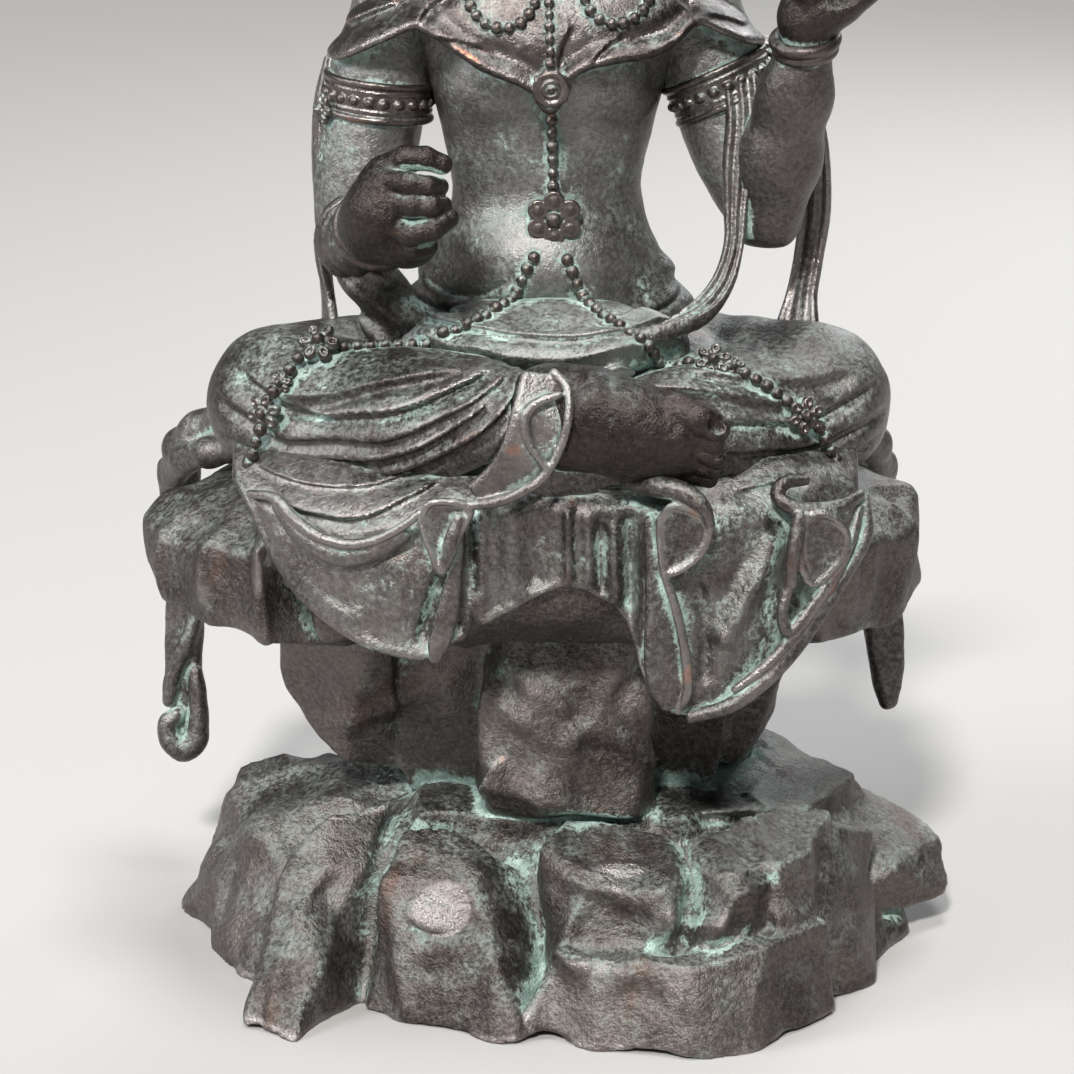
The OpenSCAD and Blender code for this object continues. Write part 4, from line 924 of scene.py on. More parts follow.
def skirt_field(P):
    x, y, z = P
    bottom = np.interp(x, _ex, _ez)
    up = z - bottom
    relief = sum(stroke(x, z, line, high, wide, 4) for line, high, wide in FLUTES + SWAG_LINES)
    relief = relief + sum(pleat(x, z, line, 1.5, 2.4, 5) for line in UPPER_PLEATS)
    t = 2.0 + 0.8 * bump(up, 1.5, 1.8)
    d = np.abs(y - skirt_depth(x, z) + relief) - t
    d = smax(d * 0.75, -up * 0.9, 1.5)
    d = smax(d, z - 14, 1.0)
    d = smax(d, np.abs(x + 0.5) - 71.5, 1.5)
    return d + 0.15 * noise(P, 5, 11) + grit(P, 0.7)


def rim(P, pts, r):
    return tube(P, [(*p, r) if len(p) == 3 else p for p in pts], 3.0)


def pocket(P, ring, r, sunk, body):
    """A turned-back corner of cloth: a thin rim round a flap that lies in the rim's own plane."""
    pts = np.array([q[:3] for q in ring], float)
    fit = np.linalg.lstsq(np.column_stack([pts[:, 0], pts[:, 2], np.ones(len(pts))]), pts[:, 1],
        rcond=None)[0]

    def f(Q):
        edge_ = rim(Q, ring + [ring[0]], r)
        out = [(q[0], q[2]) for q in curve(ring + [ring[0]], 3)[:-1]]
        flat = poly2(Q[0], Q[2], out)
        middle = fit[0] * Q[0] + fit[1] * Q[2] + fit[2] + sunk + 0.5 * step(0, -4, flat)
        return smin(edge_, np.maximum(np.abs(Q[1] - middle) - body, flat), 0.8)

    return near(P, ring, f, 4.0, r + 2)


def hem_right_field(P):
    ring = [(-28, -66, 5.4), (-25.4, -66.6, 9.6), (-17, -66.2, 8.4), (-19.4, -66.6, 2), (-23.2, -67, -6.4),
        (-26, -66.6, -1)]
    d = pocket(P, ring, 0.8, 1.4, 1.6)
    tail = ribbon(P, [(-19.8, -63, 0, 1.4), (-20.8, -63.6, -9, 2.0), (-22.6, -64.4, -18, 2.7),
        (-24.2, -64.4, -24, 2.5), (-25, -63.6, -27.6, 1.5)], (1, 0.2, 0.1), 1.4)
    spine = tube(P, [(-19.6, -67, 6, 1.1), (-21.4, -67.4, 1, 1.5), (-22.8, -67, -5, 1.0)])
    return smin(smin(d, tail, 0.8), spine, 0.8) + grit(P, 0.6)


def hem_middle_field(P):
    ring = [(24.6, -65.8, 5.4), (28, -66.6, 9), (35.6, -67, 5.4), (33.8, -66.8, -2.4), (26.4, -66.4, -7),
        (24.8, -66, 0)]
    d = pocket(P, ring, 0.8, 1.4, 1.7)
    hook = tube(P, [(18, -58.6, 12, 1.9), (24, -63.4, 12.4, 2.5), (30, -66.2, 11.8, 2.3),
        (34.2, -67.8, 9, 1.7), (35.8, -67.4, 5, 1.1)])
    fold = ribbon(P, [(22.6, -63, 4, 1.4), (23.8, -64.4, -8, 2.2), (25.4, -65.2, -20, 4.0),
        (26.2, -65.2, -31, 4.6), (28, -64.6, -38, 3.0)], (1, 0.3, 0), 1.5)
    lip = tube(P, [(25.8, -66.4, -7, 0.9), (28.2, -66.8, -14, 1.0), (30.4, -66.8, -24, 1.1),
        (31.4, -66.2, -34, 1.1), (29.4, -65.2, -40, 0.9)])
    return smin(smin(d, smin(fold, hook, 0.8), 0.8), lip, 0.5) + grit(P, 0.6)


def hem_left_field(P):
    ring = [(56.4, -59.4, 4), (62.4, -58.4, 4), (67, -56, -1), (65.4, -57, -7.4), (59, -60, -11.6),
        (56, -60.6, -4)]
    d = pocket(P, ring, 0.8, 1.4, 1.8)
    roll = tube(P, [(71.4, -48, 5, 1.2), (71.6, -50, -3, 1.7), (67.6, -53, -10, 1.9),
        (61.8, -56.6, -18, 2.0), (56, -59.4, -26, 2.1), (49, -61.4, -33.6, 2.0), (41, -62.6, -39.4, 1.8),
        (32, -63.4, -42, 1.4)])
    second = tube(P, [(70, -50, 3, 1.0), (67.4, -54, -5, 1.3), (62, -58, -14, 1.4), (56, -60.6, -22.4, 1.4),
        (49, -62.4, -30, 1.2), (42, -63.2, -35.4, 0.8)])
    curl = tube(P, [(57.6, -52.6, 10.4, 1.2), (52.6, -55, 10.4, 1.7), (51.4, -56.6, 7.6, 1.8),
        (56.4, -57.6, 5.2, 1.9), (64, -55.6, 4.8, 1.8), (70, -50.6, 6.4, 1.2)])
    gather = tube(P, [(55.8, -59.6, 4, 1.4), (54.6, -61.2, -4, 1.8), (54.2, -61.4, -11, 1.4)])
    loop = tube(P, [(53.6, -61, -12, 1.2), (52.4, -62, -17.6, 1.4), (54, -62, -22, 1.4),
        (58.4, -60.4, -17.6, 1.4), (62, -58.6, -12.6, 1.2)])
    return smin(smin(smin(d, roll, 0.8), smin(curl, gather, 0.8), 0.8), smin(second, loop, 0.5),
        0.5) + grit(P, 0.6)


def hem_roll_field(P):
    # the upper cloth's hem: a crisp lip with the cloth turned under below it, in a swag and up to the ankle
    swag = tube(P, [(-67, -45.6, 5, 1.0), (-61, -51, 5.8, 1.2), (-57, -55.8, 3, 1.2),
        (-52.4, -60, 0.6, 1.2), (-48, -62.2, -0.7, 1.2), (-43, -63.6, -1, 1.2), (-37, -64.8, 0.8, 1.1),
        (-32, -65.6, 3.8, 1.0), (-28, -65.8, 7, 0.9)])
    under = tube(P, [(-60, -50.6, 3.6, 1.8), (-55.6, -55, 0, 2.6), (-50, -58.8, -3.2, 3.0),
        (-44, -60.6, -4.4, 3.0), (-38, -61.8, -2.6, 2.8), (-32, -63.2, 1.4, 2.2)])
    swag = smin(swag, under, 0.5)
    foot = tube(P, [(-20, -65.6, 8.4, 1.0), (-12, -66.6, 9.6, 1.2), (-6, -67, 12, 1.2),
        (-0.6, -67, 16, 1.1), (3, -66.6, 22.6, 1.0), (4.6, -66.2, 29, 1.0), (4.4, -63.6, 34.6, 1.0),
        (1.4, -60.4, 37.6, 0.9)])
    # the sheet behind it, from the shin down to the hem, with one inner fold
    leaf = ribbon(P, [(-1, -60.4, 36, 5.2), (-2, -64, 29, 6), (-4.4, -65, 21.6, 5.8), (-9, -64.4, 15, 4.8),
        (-15, -64.6, 11, 3.4)], (1, 0.1, -0.3), 1.3)
    inner = tube(P, [(2.4, -64.8, 33.6, 0.9), (-2.4, -65.6, 32, 1.2), (-5, -66.2, 28.6, 1.2),
        (-4, -66.8, 23.4, 1.1), (-0.8, -67.2, 18.4, 0.9)])
    return smin(smin(swag, foot, 1.0), smin(leaf, inner, 0.8), 1.0) + grit(P, 0.6)


def foot_field(P):
    """The right foot lying on the left thigh, sole up and back, its toes one above the other at the end."""
    d = chain(P, [(0, -53, 27.5, 9.2), (10, -57.6, 28, 8.6), (19, -60.6, 26.6, 7.6), (28, -62, 25, 6.6)], 5)
    d = smin(d, chain(P, [(4, -58, 20.5, 6), (17, -60.6, 19.6, 5.6), (29, -61.4, 18.6, 5)], 4), 4)
    d = smin(d, egg(P, (2, -55, 33), (6, 6, 4)), 4)
    toes = [((27, -62.6, 30, 4.4), (33, -65, 28.6, 4.0), (37, -65.8, 26, 3.0)),
        ((31, -63.6, 25, 3.0), (36.6, -65.4, 22.4, 2.4)), ((31, -63.6, 21.4, 2.7), (37.2, -65, 19, 2.2)),
        ((30.6, -62.8, 18, 2.6), (37, -63.6, 16, 2.0)), ((30, -61.8, 15, 2.4), (36, -61.6, 13.4, 1.9))]
    for t in toes:
        d = smin(d, limb(P, t, 1.5, 4), 0.7)
    nail = egg(P, (37, -68.4, 27.6), (2.2, 1.4, 1.8))
    d = smax(d, -nail, 0.4)
    return d + 0.25 * noise(P, 3.4, 12) + grit(P, 1.3)


def apron_field(P):
    x, y, z = P
    edge = [(-30, -22, 33.5, 4.4), (-15, -35, 33.5, 4.2), (14, -36, 33.5, 4.2), (28, -23, 33.5, 4.4)]
    d = near(P, [(-30, -24, 33, 5), (28, -24, 33, 5), (0, -38, 33, 5), (0, -16, 46, 8)],
             lambda Q: smin(chain(Q, edge, 4), egg(Q, (0, -19, 35), (27, 15, 9)), 9), 6)
    # broad sagging arcs of cloth, seen from the front and above
    v = 0.7 * z + 0.7 * (y + 30)
    for line, high, wide in (([(-31, 29), (-19, 20), (0, 16.4), (17, 19), (31, 28)], 1.8, 2.2),
            ([(-29, 35), (-15, 26), (2, 22.6), (17, 25.4), (29, 34)], 1.0, 2.6),
            ([(-26, 42), (-17, 34), (-9, 30)], 0.8, 2.4), ([(26, 42), (18, 33), (11, 30)], 0.9, 2.4)):
        d = d - pleat(x, v, line, high, wide, 5)
    return d + 0.2 * noise(P, 5, 13) + grit(P, 0.8)

# ---------------------------------------------------------------- the figure: body, cape and arms

TORSO = [(22, 0, 6, 35.5, 22), (34, 0, 6, 35, 22), (42, 0, 5, 31.5, 20.5), (50, 0, 4, 27, 17.8),
         (57, 0, 3, 23.6, 16), (66, 0, 2, 22, 15.6), (80, 0, 1.5, 24.6, 17), (92, 0, 1, 28, 18.5),
         (102, 0, 2, 32, 18), (110, 0, 3, 33, 15), (116, 0, 4, 25, 12.5), (120, 0, 4, 14, 11.5),
         (124.5, 0, 3.5, 12, 11.2)]
WAIST = [
    [(4, 49), (9, 43), (18, 38.6), (27, 39.4), (34, 43)],
    [(6, 44), (12, 38.6), (20, 35), (30, 35.6), (36, 39)],
    [(-8, 48), (-14, 43), (-22, 41.4), (-31, 45)],
    [(-9, 43), (-16, 38.6), (-25, 37.4), (-34, 41)],
    [(-6, 39), (-16, 34.4), (-28, 33.4)],
    [(8, 39), (14, 34.6), (24, 31.6), (34, 33)],
]


def torso_field(P):
    x, y, z = P
    d = barrel(P, TORSO)
    # breast and belly
    d = smin(d, egg(P, (-10.5, -10, 93), (11, 8, 9.5)), 5)
    d = smin(d, egg(P, (10.5, -10, 93), (11, 8, 9.5)), 5)
    d = smin(d, egg(P, (0, -5, 50), (19, 15.5, 13)), 7)
    front = step(6, -6, y)
    fold = sum(pleat(x, z, w, 1.1, 1.7, 4) for w in WAIST)
    fold = fold + stroke(x, z, [(0, 92), (0, 80), (0.5, 70)], -0.7, 2.6, 5)
    back = 0.9 * np.cos(z * 0.85 + 0.02 * np.abs(x) ** 1.6) * step(54, 44, z) * (1 - front)
    spine = -1.1 * bump(x, 0, 3.5) * (1 - front) * step(50, 62, z) * step(106, 96, z)
    blades = 1.0 * bump(np.abs(x), 13, 6) * bump(z, 92, 10) * (1 - front)
    return d - fold * front - back - spine - blades + 0.2 * noise(P, 6, 14) + grit(P)


CAPE = [(84, 0, 1, 51.5, 26.4), (92, 0, 1, 50, 25.6), (99, 0, 1, 48.4, 24.6), (104, 0, 1.2, 46.6, 24.2),
        (109, 0, 1.8, 42.6, 23), (113.5, 0, 2.6, 36.5, 20.8), (117.5, 0, 3.2, 28.5, 17.8),
        (121, 0, 3.5, 19.5, 14.8), (124, 0, 3.5, 15, 12.8)]
HEM = [(-52, 96), (-47, 97), (-38, 101.6), (-30, 105.4), (-25, 103.6), (-15, 97.2), (-7, 94), (-1, 91),
       (3, 93.4), (9, 97.2), (16, 98.6), (23, 99.4), (29, 102.6), (34, 106), (40, 103.4), (47, 100),
       (52, 98.6)]
HEM_BACK = [(-52, 96), (-46, 97.4), (-35, 104), (-25, 101), (-12, 95.6), (0, 91), (12, 95.6), (25, 101),
            (35, 104), (46, 98.6), (52, 98.6)]


def hem_line(line):
    c = curve(line, 6)
    return c[:, 0], c[:, 1]


_hf, _hb = hem_line(HEM), hem_line(HEM_BACK)


def cape_field(P):
    x, y, z = P
    w = step(-7, 7, y)
    hem = np.interp(x, *_hf) * (1 - w) + np.interp(x, *_hb) * w
    up = z - hem
    body = barrel(P, CAPE, 2.35)
    roll = 1.7 * bump(up, 1.6, 2.4) - 0.7 * bump(up, 5.4, 2.0)
    drape = (pleat(x, z, [(-30, 106), (-27, 110), (-20, 115), (-13, 119)], 1.1, 2.0, 4)
             + pleat(x, z, [(33, 107), (30, 111), (22, 116), (14, 119)], 1.1, 2.0, 4)
             + pleat(x, z, [(-28, 104.6), (-20, 104), (-12, 101)], 0.8, 2.0, 4)
             + pleat(x, z, [(9, 99), (13, 102.6), (18, 105)], 0.9, 1.3, 3)
             + pleat(x, z, [(31, 104), (24, 104), (17, 102)], 0.7, 1.8, 4)
             + pleat(x, z, [(-47, 104), (-40, 108), (-33, 111)], 0.8, 1.8, 3)
             + pleat(x, z, [(35, 109), (41, 107), (47, 104)], 0.8, 1.8, 3)
             + pleat(x, z, [(2, 95), (3, 102), (6, 108)], 0.6, 1.8, 3))
    folds_back = 0.8 * np.cos(np.arctan2(x, y) * 11) * step(118, 106, z)
    skin = body - roll - drape * (1 - w) - folds_back * w
    d = smax(skin, -up * 0.85, 1.3)
    d = np.maximum(d, -np.maximum(body + 3.0, z - 112))
    return d + grit(P)


def right_arm_field(P):
    d = limb(P, [(-34, 3, 106, 11), (-38, 2.5, 92, 10.6), (-41, 2, 78, 10.2), (-42.4, 0.5, 66, 10.2),
        (-44, -2, 55, 9.2)], 6)
    return d + 0.25 * noise(P, 6, 15) + grit(P)


def right_forearm_field(P):
    d = chain(P, [(-44, -5, 54.6, 9.4), (-42.4, -19, 58, 8.8), (-39, -34, 63, 7.2)], 6)
    ringed = 0.35 * np.cos((P[1] + 12) * 1.6) * step(-10, -14, P[1]) * step(-32, -24, P[1])
    return d - ringed + grit(P)


def left_arm_field(P):
    d = limb(P, [(34, 3, 106, 11), (38, 2, 94, 10.6), (42, 0, 81, 9.8), (46, -2.5, 72, 9.4),
        (50, -5, 62, 9)], 6)
    return d + 0.25 * noise(P, 6, 16) + grit(P)


def left_forearm_field(P):
    d = chain(P, [(50.4, -8, 61, 8.8), (53, -12, 76, 8.8), (56, -17, 91, 7.4), (58.2, -21, 103, 5.8)], 6)
    d = smax(d, 53.2 - P[2] - 0.06 * (P[0] - 50), 2.5)
    return d + 0.2 * noise(P, 6, 17) + grit(P)


# each finger runs from the palm to its tip, the thumb last: (x, y, z, radius)
RIGHT_FINGERS = [
    [(-35, -50, 78, 3.0), (-30, -53.4, 78, 2.6), (-26, -53.2, 77.4, 2.3), (-23.6, -50.8, 76.8, 2.1)],
    [(-35, -50.6, 73.6, 3.0), (-29.6, -54, 73.4, 2.6), (-25.4, -54, 73, 2.3), (-22.8, -51.4, 72.8, 2.1)],
    [(-35, -49.6, 69, 3.0), (-30, -54, 67, 2.8), (-25, -54.2, 68.2, 2.5), (-21.4, -51.6, 70, 2.2)],
    [(-34.6, -47.6, 65, 2.8), (-29.4, -51.4, 63, 2.4), (-26, -50, 63.4, 2.1)],
    [(-36, -46, 79.4, 3.4), (-31, -48.4, 82.4, 3.0), (-26.6, -49.4, 82.8, 2.6), (-23, -49, 81.4, 2.3)],
]


def right_hand_field(P):
    d = chain(P, [(-39, -36, 63.6, 6.6), (-38, -43, 66.4, 7.6), (-36, -46.6, 71, 7.6),
        (-35, -46.6, 76, 6.4)], 4)
    d = smin(d, egg(P, (-31, -46, 63.4), (7, 6, 6)), 3)
    for pts in RIGHT_FINGERS:
        d = smin(d, limb(P, pts, 0.7, 4), 0.7)
    return d + grit(P, 0.5)


LEFT_FINGERS = [
    [(62.4, -25.6, 119.4, 2.8), (66, -28.6, 126.4, 2.3), (65.6, -31.6, 130, 2.1), (63.6, -33.4, 132, 1.9)],
    [(66.8, -25.6, 120.6, 2.8), (70.6, -27.8, 128, 2.3), (71.6, -29.6, 132, 2.1),
     (71.6, -31.6, 135.4, 1.8)],
    [(70.6, -25, 119.6, 2.7), (75.2, -26.8, 126, 2.2), (76.8, -28.4, 129.6, 2.0),
     (77.4, -30.2, 132.8, 1.7)],
    [(73, -24, 117, 2.4), (78.4, -25.2, 121.2, 2.0), (80.6, -26.4, 123.8, 1.8), (82, -28, 126.6, 1.5)],
    [(57.8, -24.4, 112, 3.4), (57.6, -28.6, 118, 2.9), (59, -31.6, 122.6, 2.5), (61.4, -33.4, 126, 2.1)],
]


def left_hand_field(P):
    d = chain(P, [(58.2, -21.4, 104, 5.6), (58, -22, 109, 5.6), (59, -22.4, 115.6, 5.2)], 4)
    d = smin(d, chain(P, [(58, -22, 109, 5.4), (64, -23, 113, 5.4), (69.6, -24, 116.8, 4.8)], 4), 3)
    d = smin(d, chain(P, [(59.6, -22.6, 116, 4.6), (69, -24, 117, 4.4)], 4), 3)
    d = smax(d, -egg(P, (65, -30.5, 117), (6.5, 4, 5)), 2)
    for pts in LEFT_FINGERS:
        d = smin(d, limb(P, pts, 0.7, 4), 0.9)
    return d + grit(P, 0.5)


def frame_of(a, b, tilt=(0, 0, 0)):
    """Axes of a band that runs round a limb from a towards b."""
    n = np.array(b, float) - a + np.array(tilt, float)
    n /= np.linalg.norm(n)
    u = np.cross(n, (0, 1, 0))
    u /= np.linalg.norm(u)
    return np.array(a, float), u, np.cross(n, u), n


def band(P, fr, r, wide, studs):
    """An armlet: a flat band with rolled edges and a row of studs."""
    o, u, v, n = fr
    thick, stud = 1.5, 1.1

    def f(Q):
        e = [Q[i] - o[i] for i in range(3)]
        a, b, h = (sum(e[i] * w[i] for i in range(3)) for w in (u, v, n))
        rad = np.hypot(a, b) - r
        h = h - wide / 2
        d = np.hypot(np.maximum(np.abs(h) - wide / 2 + 0.6, 0),
            np.maximum(np.abs(rad - thick / 2) - thick / 2 + 0.4, 0)) - 0.5
        for s in (-1, 1):
            d = smin(d, np.hypot(h - s * (wide / 2 - 0.7), rad - thick) - 0.85, 0.3)
            if wide > 6:
                d = smin(d, np.hypot(h - s * (wide / 2 - 2.5), rad - thick + 0.1) - 0.5, 0.2)
        if studs:
            t = np.arctan2(b, a) * studs / (2 * math.pi)
            t = (t - np.round(t)) * 2 * math.pi * r / studs
            d = smin(d, np.sqrt(t * t + h * h + (rad - thick) ** 2) - stud, 0.3)
        return d

    g = r + thick + 3
    return near(P, [(*(o + n * wide / 2), g)], f, 3.0)


ARMLET_R = frame_of((-38.4, 2.4, 91.5), (-41.4, 2, 76), (1.2, 0, -1))
ARMLET_L = frame_of((38.2, 1.8, 93.5), (43.4, 0, 80), (1, 0, 0))
BRACELET_R = frame_of((-38.9, -34.4, 63), (-37, -44, 67.6))
BRACELET_L = frame_of((57.9, -20.2, 100.6), (60.2, -22.4, 108), (-3, 0, 0))


def right_armlet_field(P):
    d = band(P, ARMLET_R, 10.9, 9.4, 22)
    return smin(d, flower(P, (-51.6, -4.6, 84.6), 3.4, 6, 1.8, 0, (-1, -0.7, 0.1)), 0.6) + grit(P, 0.4)


def left_armlet_field(P):
    return band(P, ARMLET_L, 10.8, 9.4, 22) + grit(P, 0.4)


def bracelet_field(P, fr, r):
    o, u, v, n = fr
    e = [P[i] - o[i] for i in range(3)]
    a, b, h = (sum(e[i] * w[i] for i in range(3)) for w in (u, v, n))
    rad = np.hypot(a, b) - r
    d = np.hypot(rad, h - 1.0) - 1.35
    d = smin(d, np.hypot(rad - 0.5, h - 3.4) - 1.55, 0.5)
    return d + grit(P, 0.5)


def sleeve_field(P):
    d = smin(cone(P, (-43, -10, 47, 5.4), (-40, -24, 50, 4.6)),
        cone(P, (-36, -20, 37, 5), (-27, -14, 34, 5)), 7)
    d = smin(d, cone(P, (-41, -20, 48, 5), (-31, -15, 36, 6)), 6)
    fold = 0.8 * np.cos((P[0] * 0.5 + P[2] * 0.75) * 0.95)
    return d - fold + grit(P)


# ---------------------------------------------------------------- the figure: head


def skull(P):
    d = egg(P, (0, 4, 161.5), (18.3, 19.6, 19.4))
    d = smin(d, egg(P, (0, -2.5, 150), (14.6, 14, 16)), 6)
    for s in (-1, 1):
        d = smin(d, egg(P, (s * 7.4, -7, 150.6), (8.6, 9, 9)), 5)
    d = smin(d, egg(P, (0, -8.6, 139.8), (8, 7.4, 7.2)), 6)
    return d


NECK = [(118, 0, 3.5, 13, 11.6), (124, 0, 3.4, 11.8, 11), (130, 0, 2.4, 11.2, 10.6),
        (136, 0, 1.4, 11.6, 11), (142, 0, 1, 11, 10.6)]
BROW = [(2.6, 157.2), (6, 160.2), (10.4, 160.8), (14.4, 158.2)]
LID = [(3.8, 154.2), (6.4, 153.4), (9.4, 153.2), (12.6, 154.6)]
CREASE = [(3.9, 155.6), (6.6, 157.3), (10, 157.2), (13, 155.4)]
MOUTH = [(-4.8, 143.1), (-1.6, 142.3), (0, 142.6), (1.6, 142.3), (4.8, 143.1)]
POUCH = [(4.6, 152.6), (8, 151.4), (11.6, 152.6)]


def head_field(P):
    x, y, z = P
    ax = np.abs(x)
    d = smin(skull(P), smax(barrel(P, NECK), 118.4 - z, 0.5), 3)
    # sockets, then the closed-down eyes in them
    M = (ax, y, z)
    d = smax(d, -egg(M, (8.2, -20.4, 155.4), (5.6, 4.4, 3.6)), 3.5)
    d = smin(d, egg(M, (8.2, -11.6, 154.8), (5.2, 5.3, 3.7)), 1.2)
    nose = chain(P, [(0, -14.4, 159.4, 2.0), (0, -17.6, 154, 1.9), (0, -19.8, 149.6, 2.2)], 2)
    nose = smin(nose, ball(P, (0, -20, 148.8), 2.3), 1)
    nose = smin(nose, egg(M, (2.5, -18, 148.2), (1.7, 2.2, 1.6)), 1)
    nose = smax(nose, -egg(M, (1.4, -19.4, 146.6), (0.8, 1.3, 0.8)), 0.5)
    d = smin(d, nose, 1.8)
    lips = smin(egg(M, (1.9, -15.6, 143.3), (3.4, 2.6, 1.35)), egg(P, (0, -15.4, 141.3), (3.9, 2.7, 1.5)),
        0.35)
    d = smin(d, lips, 0.9)
    front = step(-2, -10, y)
    draw = (stroke(ax, z, BROW, 0.55, 1.1, 3) + stroke(ax, z, LID, -0.75, 0.42)
            + stroke(ax, z, [(a, b + 0.9) for a, b in LID], 0.4, 0.6)
            + stroke(ax, z, CREASE, -0.35, 0.5) + stroke(ax, z, POUCH, -0.25, 0.7)
            + stroke(x, z, MOUTH, -0.6, 0.36)
            + stroke(x, z, [(0, 146.4), (0, 144.6)], -0.35, 0.7, 0.8)
            - 0.5 * bump(np.hypot(ax - 5.4, z - 143), 0, 1.3)
            - 0.8 * bump(np.hypot(x * 0.6, z - 138.8), 0, 1.4) + 0.9 * bump(np.hypot(x, z - 164), 0, 1.1))
    neck = (stroke(ax, z - 0.02 * y * y, [(0, 131), (20, 131)], -0.7, 0.7)
            + stroke(ax, z - 0.02 * y * y, [(0, 126.6), (20, 126.6)], -0.7, 0.7))
    return d - draw * front - neck * step(4, -2, y) + 0.6 * grit(P, 0.5)


def ear_field(P):
    """One ear with the long lobe of such figures."""
    helix = tube(P, [(17.4, -0.6, 157, 1.0), (18.6, 0.4, 161, 1.2), (19.6, 3.6, 163, 1.3),
        (20.6, 7.2, 160.6, 1.4), (20.6, 8, 155.6, 1.4), (19.6, 6.6, 150, 1.3), (18.6, 4.6, 145, 1.4),
        (17.8, 3.4, 139.6, 1.8), (17.4, 2.6, 135, 2.0)])
    inner = tube(P, [(17.2, -0.6, 156, 0.9), (17.6, 0, 151.6, 1.3), (17.4, 0.6, 147, 1.2),
        (17, 0.6, 141, 1.5), (16.8, 1, 135.6, 2.0)])
    anti = tube(P, [(18, 2.4, 160, 0.8), (18.8, 4.6, 157, 0.9), (18.6, 4.6, 152.4, 0.9),
        (17.8, 2.8, 148.6, 0.9)])
    shell = egg(P, (16.8, 3.4, 153), (2.2, 4.4, 7))
    lobe = egg(P, (17, 1.9, 138), (1.5, 2.6, 5.4))
    d = smin(smin(smin(helix, inner, 0.6), smin(shell, anti, 0.5), 0.6), lobe, 1)
    return smax(d, -egg(P, (17.6, 1.8, 135.6), (4, 0.8, 1.5)), 0.4) + grit(P, 0.4)


def comb(P, n, deep, twist=0.0):
    """Strands drawn up to the crown."""
    a = np.arctan2(P[0], P[1] - 6) + twist * P[2] * 0.02
    return deep * (np.abs(np.sin(a * n / 2 + 0.5 * noise(P, 9, 20))) ** 0.7 - 0.5)


HAIRLINE = [(-22, 150), (-18.4, 152), (-16.6, 160), (-12.6, 168.4), (-6, 172.2), (0, 171), (6, 172.2),
            (12.6, 168.4), (16.6, 160), (18.4, 152), (22, 150)]
_hl = hem_line(HAIRLINE)


def hair_field(P):
    x, y, z = P
    d = egg(P, (0, 5, 163.6), (20.2, 21, 20.2))
    d = smin(d, egg(P, (0, 9, 153), (17.4, 15.4, 13)), 5)
    d = smin(d, egg(P, (0, 4.4, 182), (11.6, 11.6, 6.4)), 4)
    d = smin(d, egg(P, (0, 13, 146.6), (12.5, 8.4, 7)), 5)
    d = d - comb(P, 60, 0.9)
    line = np.interp(x, *_hl) - 0.5 * np.cos(x * 2.2)
    cut = np.where(y < 8, line - z, 138 - z) * step(14, 4, y) + (140.4 - z) * (1 - step(14, 4, y))
    # ears stay clear of the hair
    cut = np.maximum(cut, -egg((np.abs(x), y, z), (19, 1.5, 152), (5, 6.4, 8.6)))
    return smax(d, cut * 0.8, 1.6) + grit(P, 0.4)


def topknot_field(P):
    x, y, z = P
    d = chain(P, [(0, 5, 187, 9.6), (0, 6, 195, 10.8), (0, 5, 203.6, 8.6), (0, 4, 210, 5.2)], 5)
    for s in (-1, 1):
        d = smin(d, tube(P, [(s * 4, -1, 188, 4.2), (s * 10, 2, 193, 4.8), (s * 9.6, 2, 201, 4.6),
            (s * 3, 2.6, 208, 3.6)], 4), 1.2)
    d = d - comb((x, y - 1, z), 34, 0.75, 3.0)
    cord = np.hypot(np.hypot(x, (y - 4.6) * 0.98) - 10.6, z - 186.2) - 1.25
    cord = smin(cord, np.hypot(np.hypot(x, (y - 4.6) * 0.98) - 10.3, z - 188.6) - 0.9, 0.3)
    d = smin(d, cord, 0.4)
    d = smin(d, flower(P, (0, -6.4, 188.4), 3.6, 6, 2.2, 0.3), 0.5)
    return smax(d, -(egg(P, (0, 4.4, 181), (11.6, 11.6, 6.4))), 0.6) + grit(P, 0.4)


def lock_field(P):
    """A lock behind each ear, down to the shoulder in loose twisted strands."""
    line = [(16.6, 9, 147, 3), (19.6, 9, 138, 2.6), (23, 7.4, 129, 2.4), (28.6, 4, 122.6, 2.2),
        (33.4, -1, 119, 2.0), (37, -5.4, 115.6, 1.3)]
    c = curve(line, 5)
    d = None
    for k in range(3):
        pts = []
        for i, p in enumerate(c):
            t = i * 0.42 + k * 2.094
            pts.append((p[0] + 0.55 * p[3] * math.cos(t), p[1] + 0.55 * p[3] * math.sin(t),
                p[2] + 0.2 * p[3] * math.sin(t + 1), p[3] * 0.55))
        e = strand(P, pts, 3)
        d = e if d is None else smin(d, e, 0.35)
    return d + grit(P, 0.4)


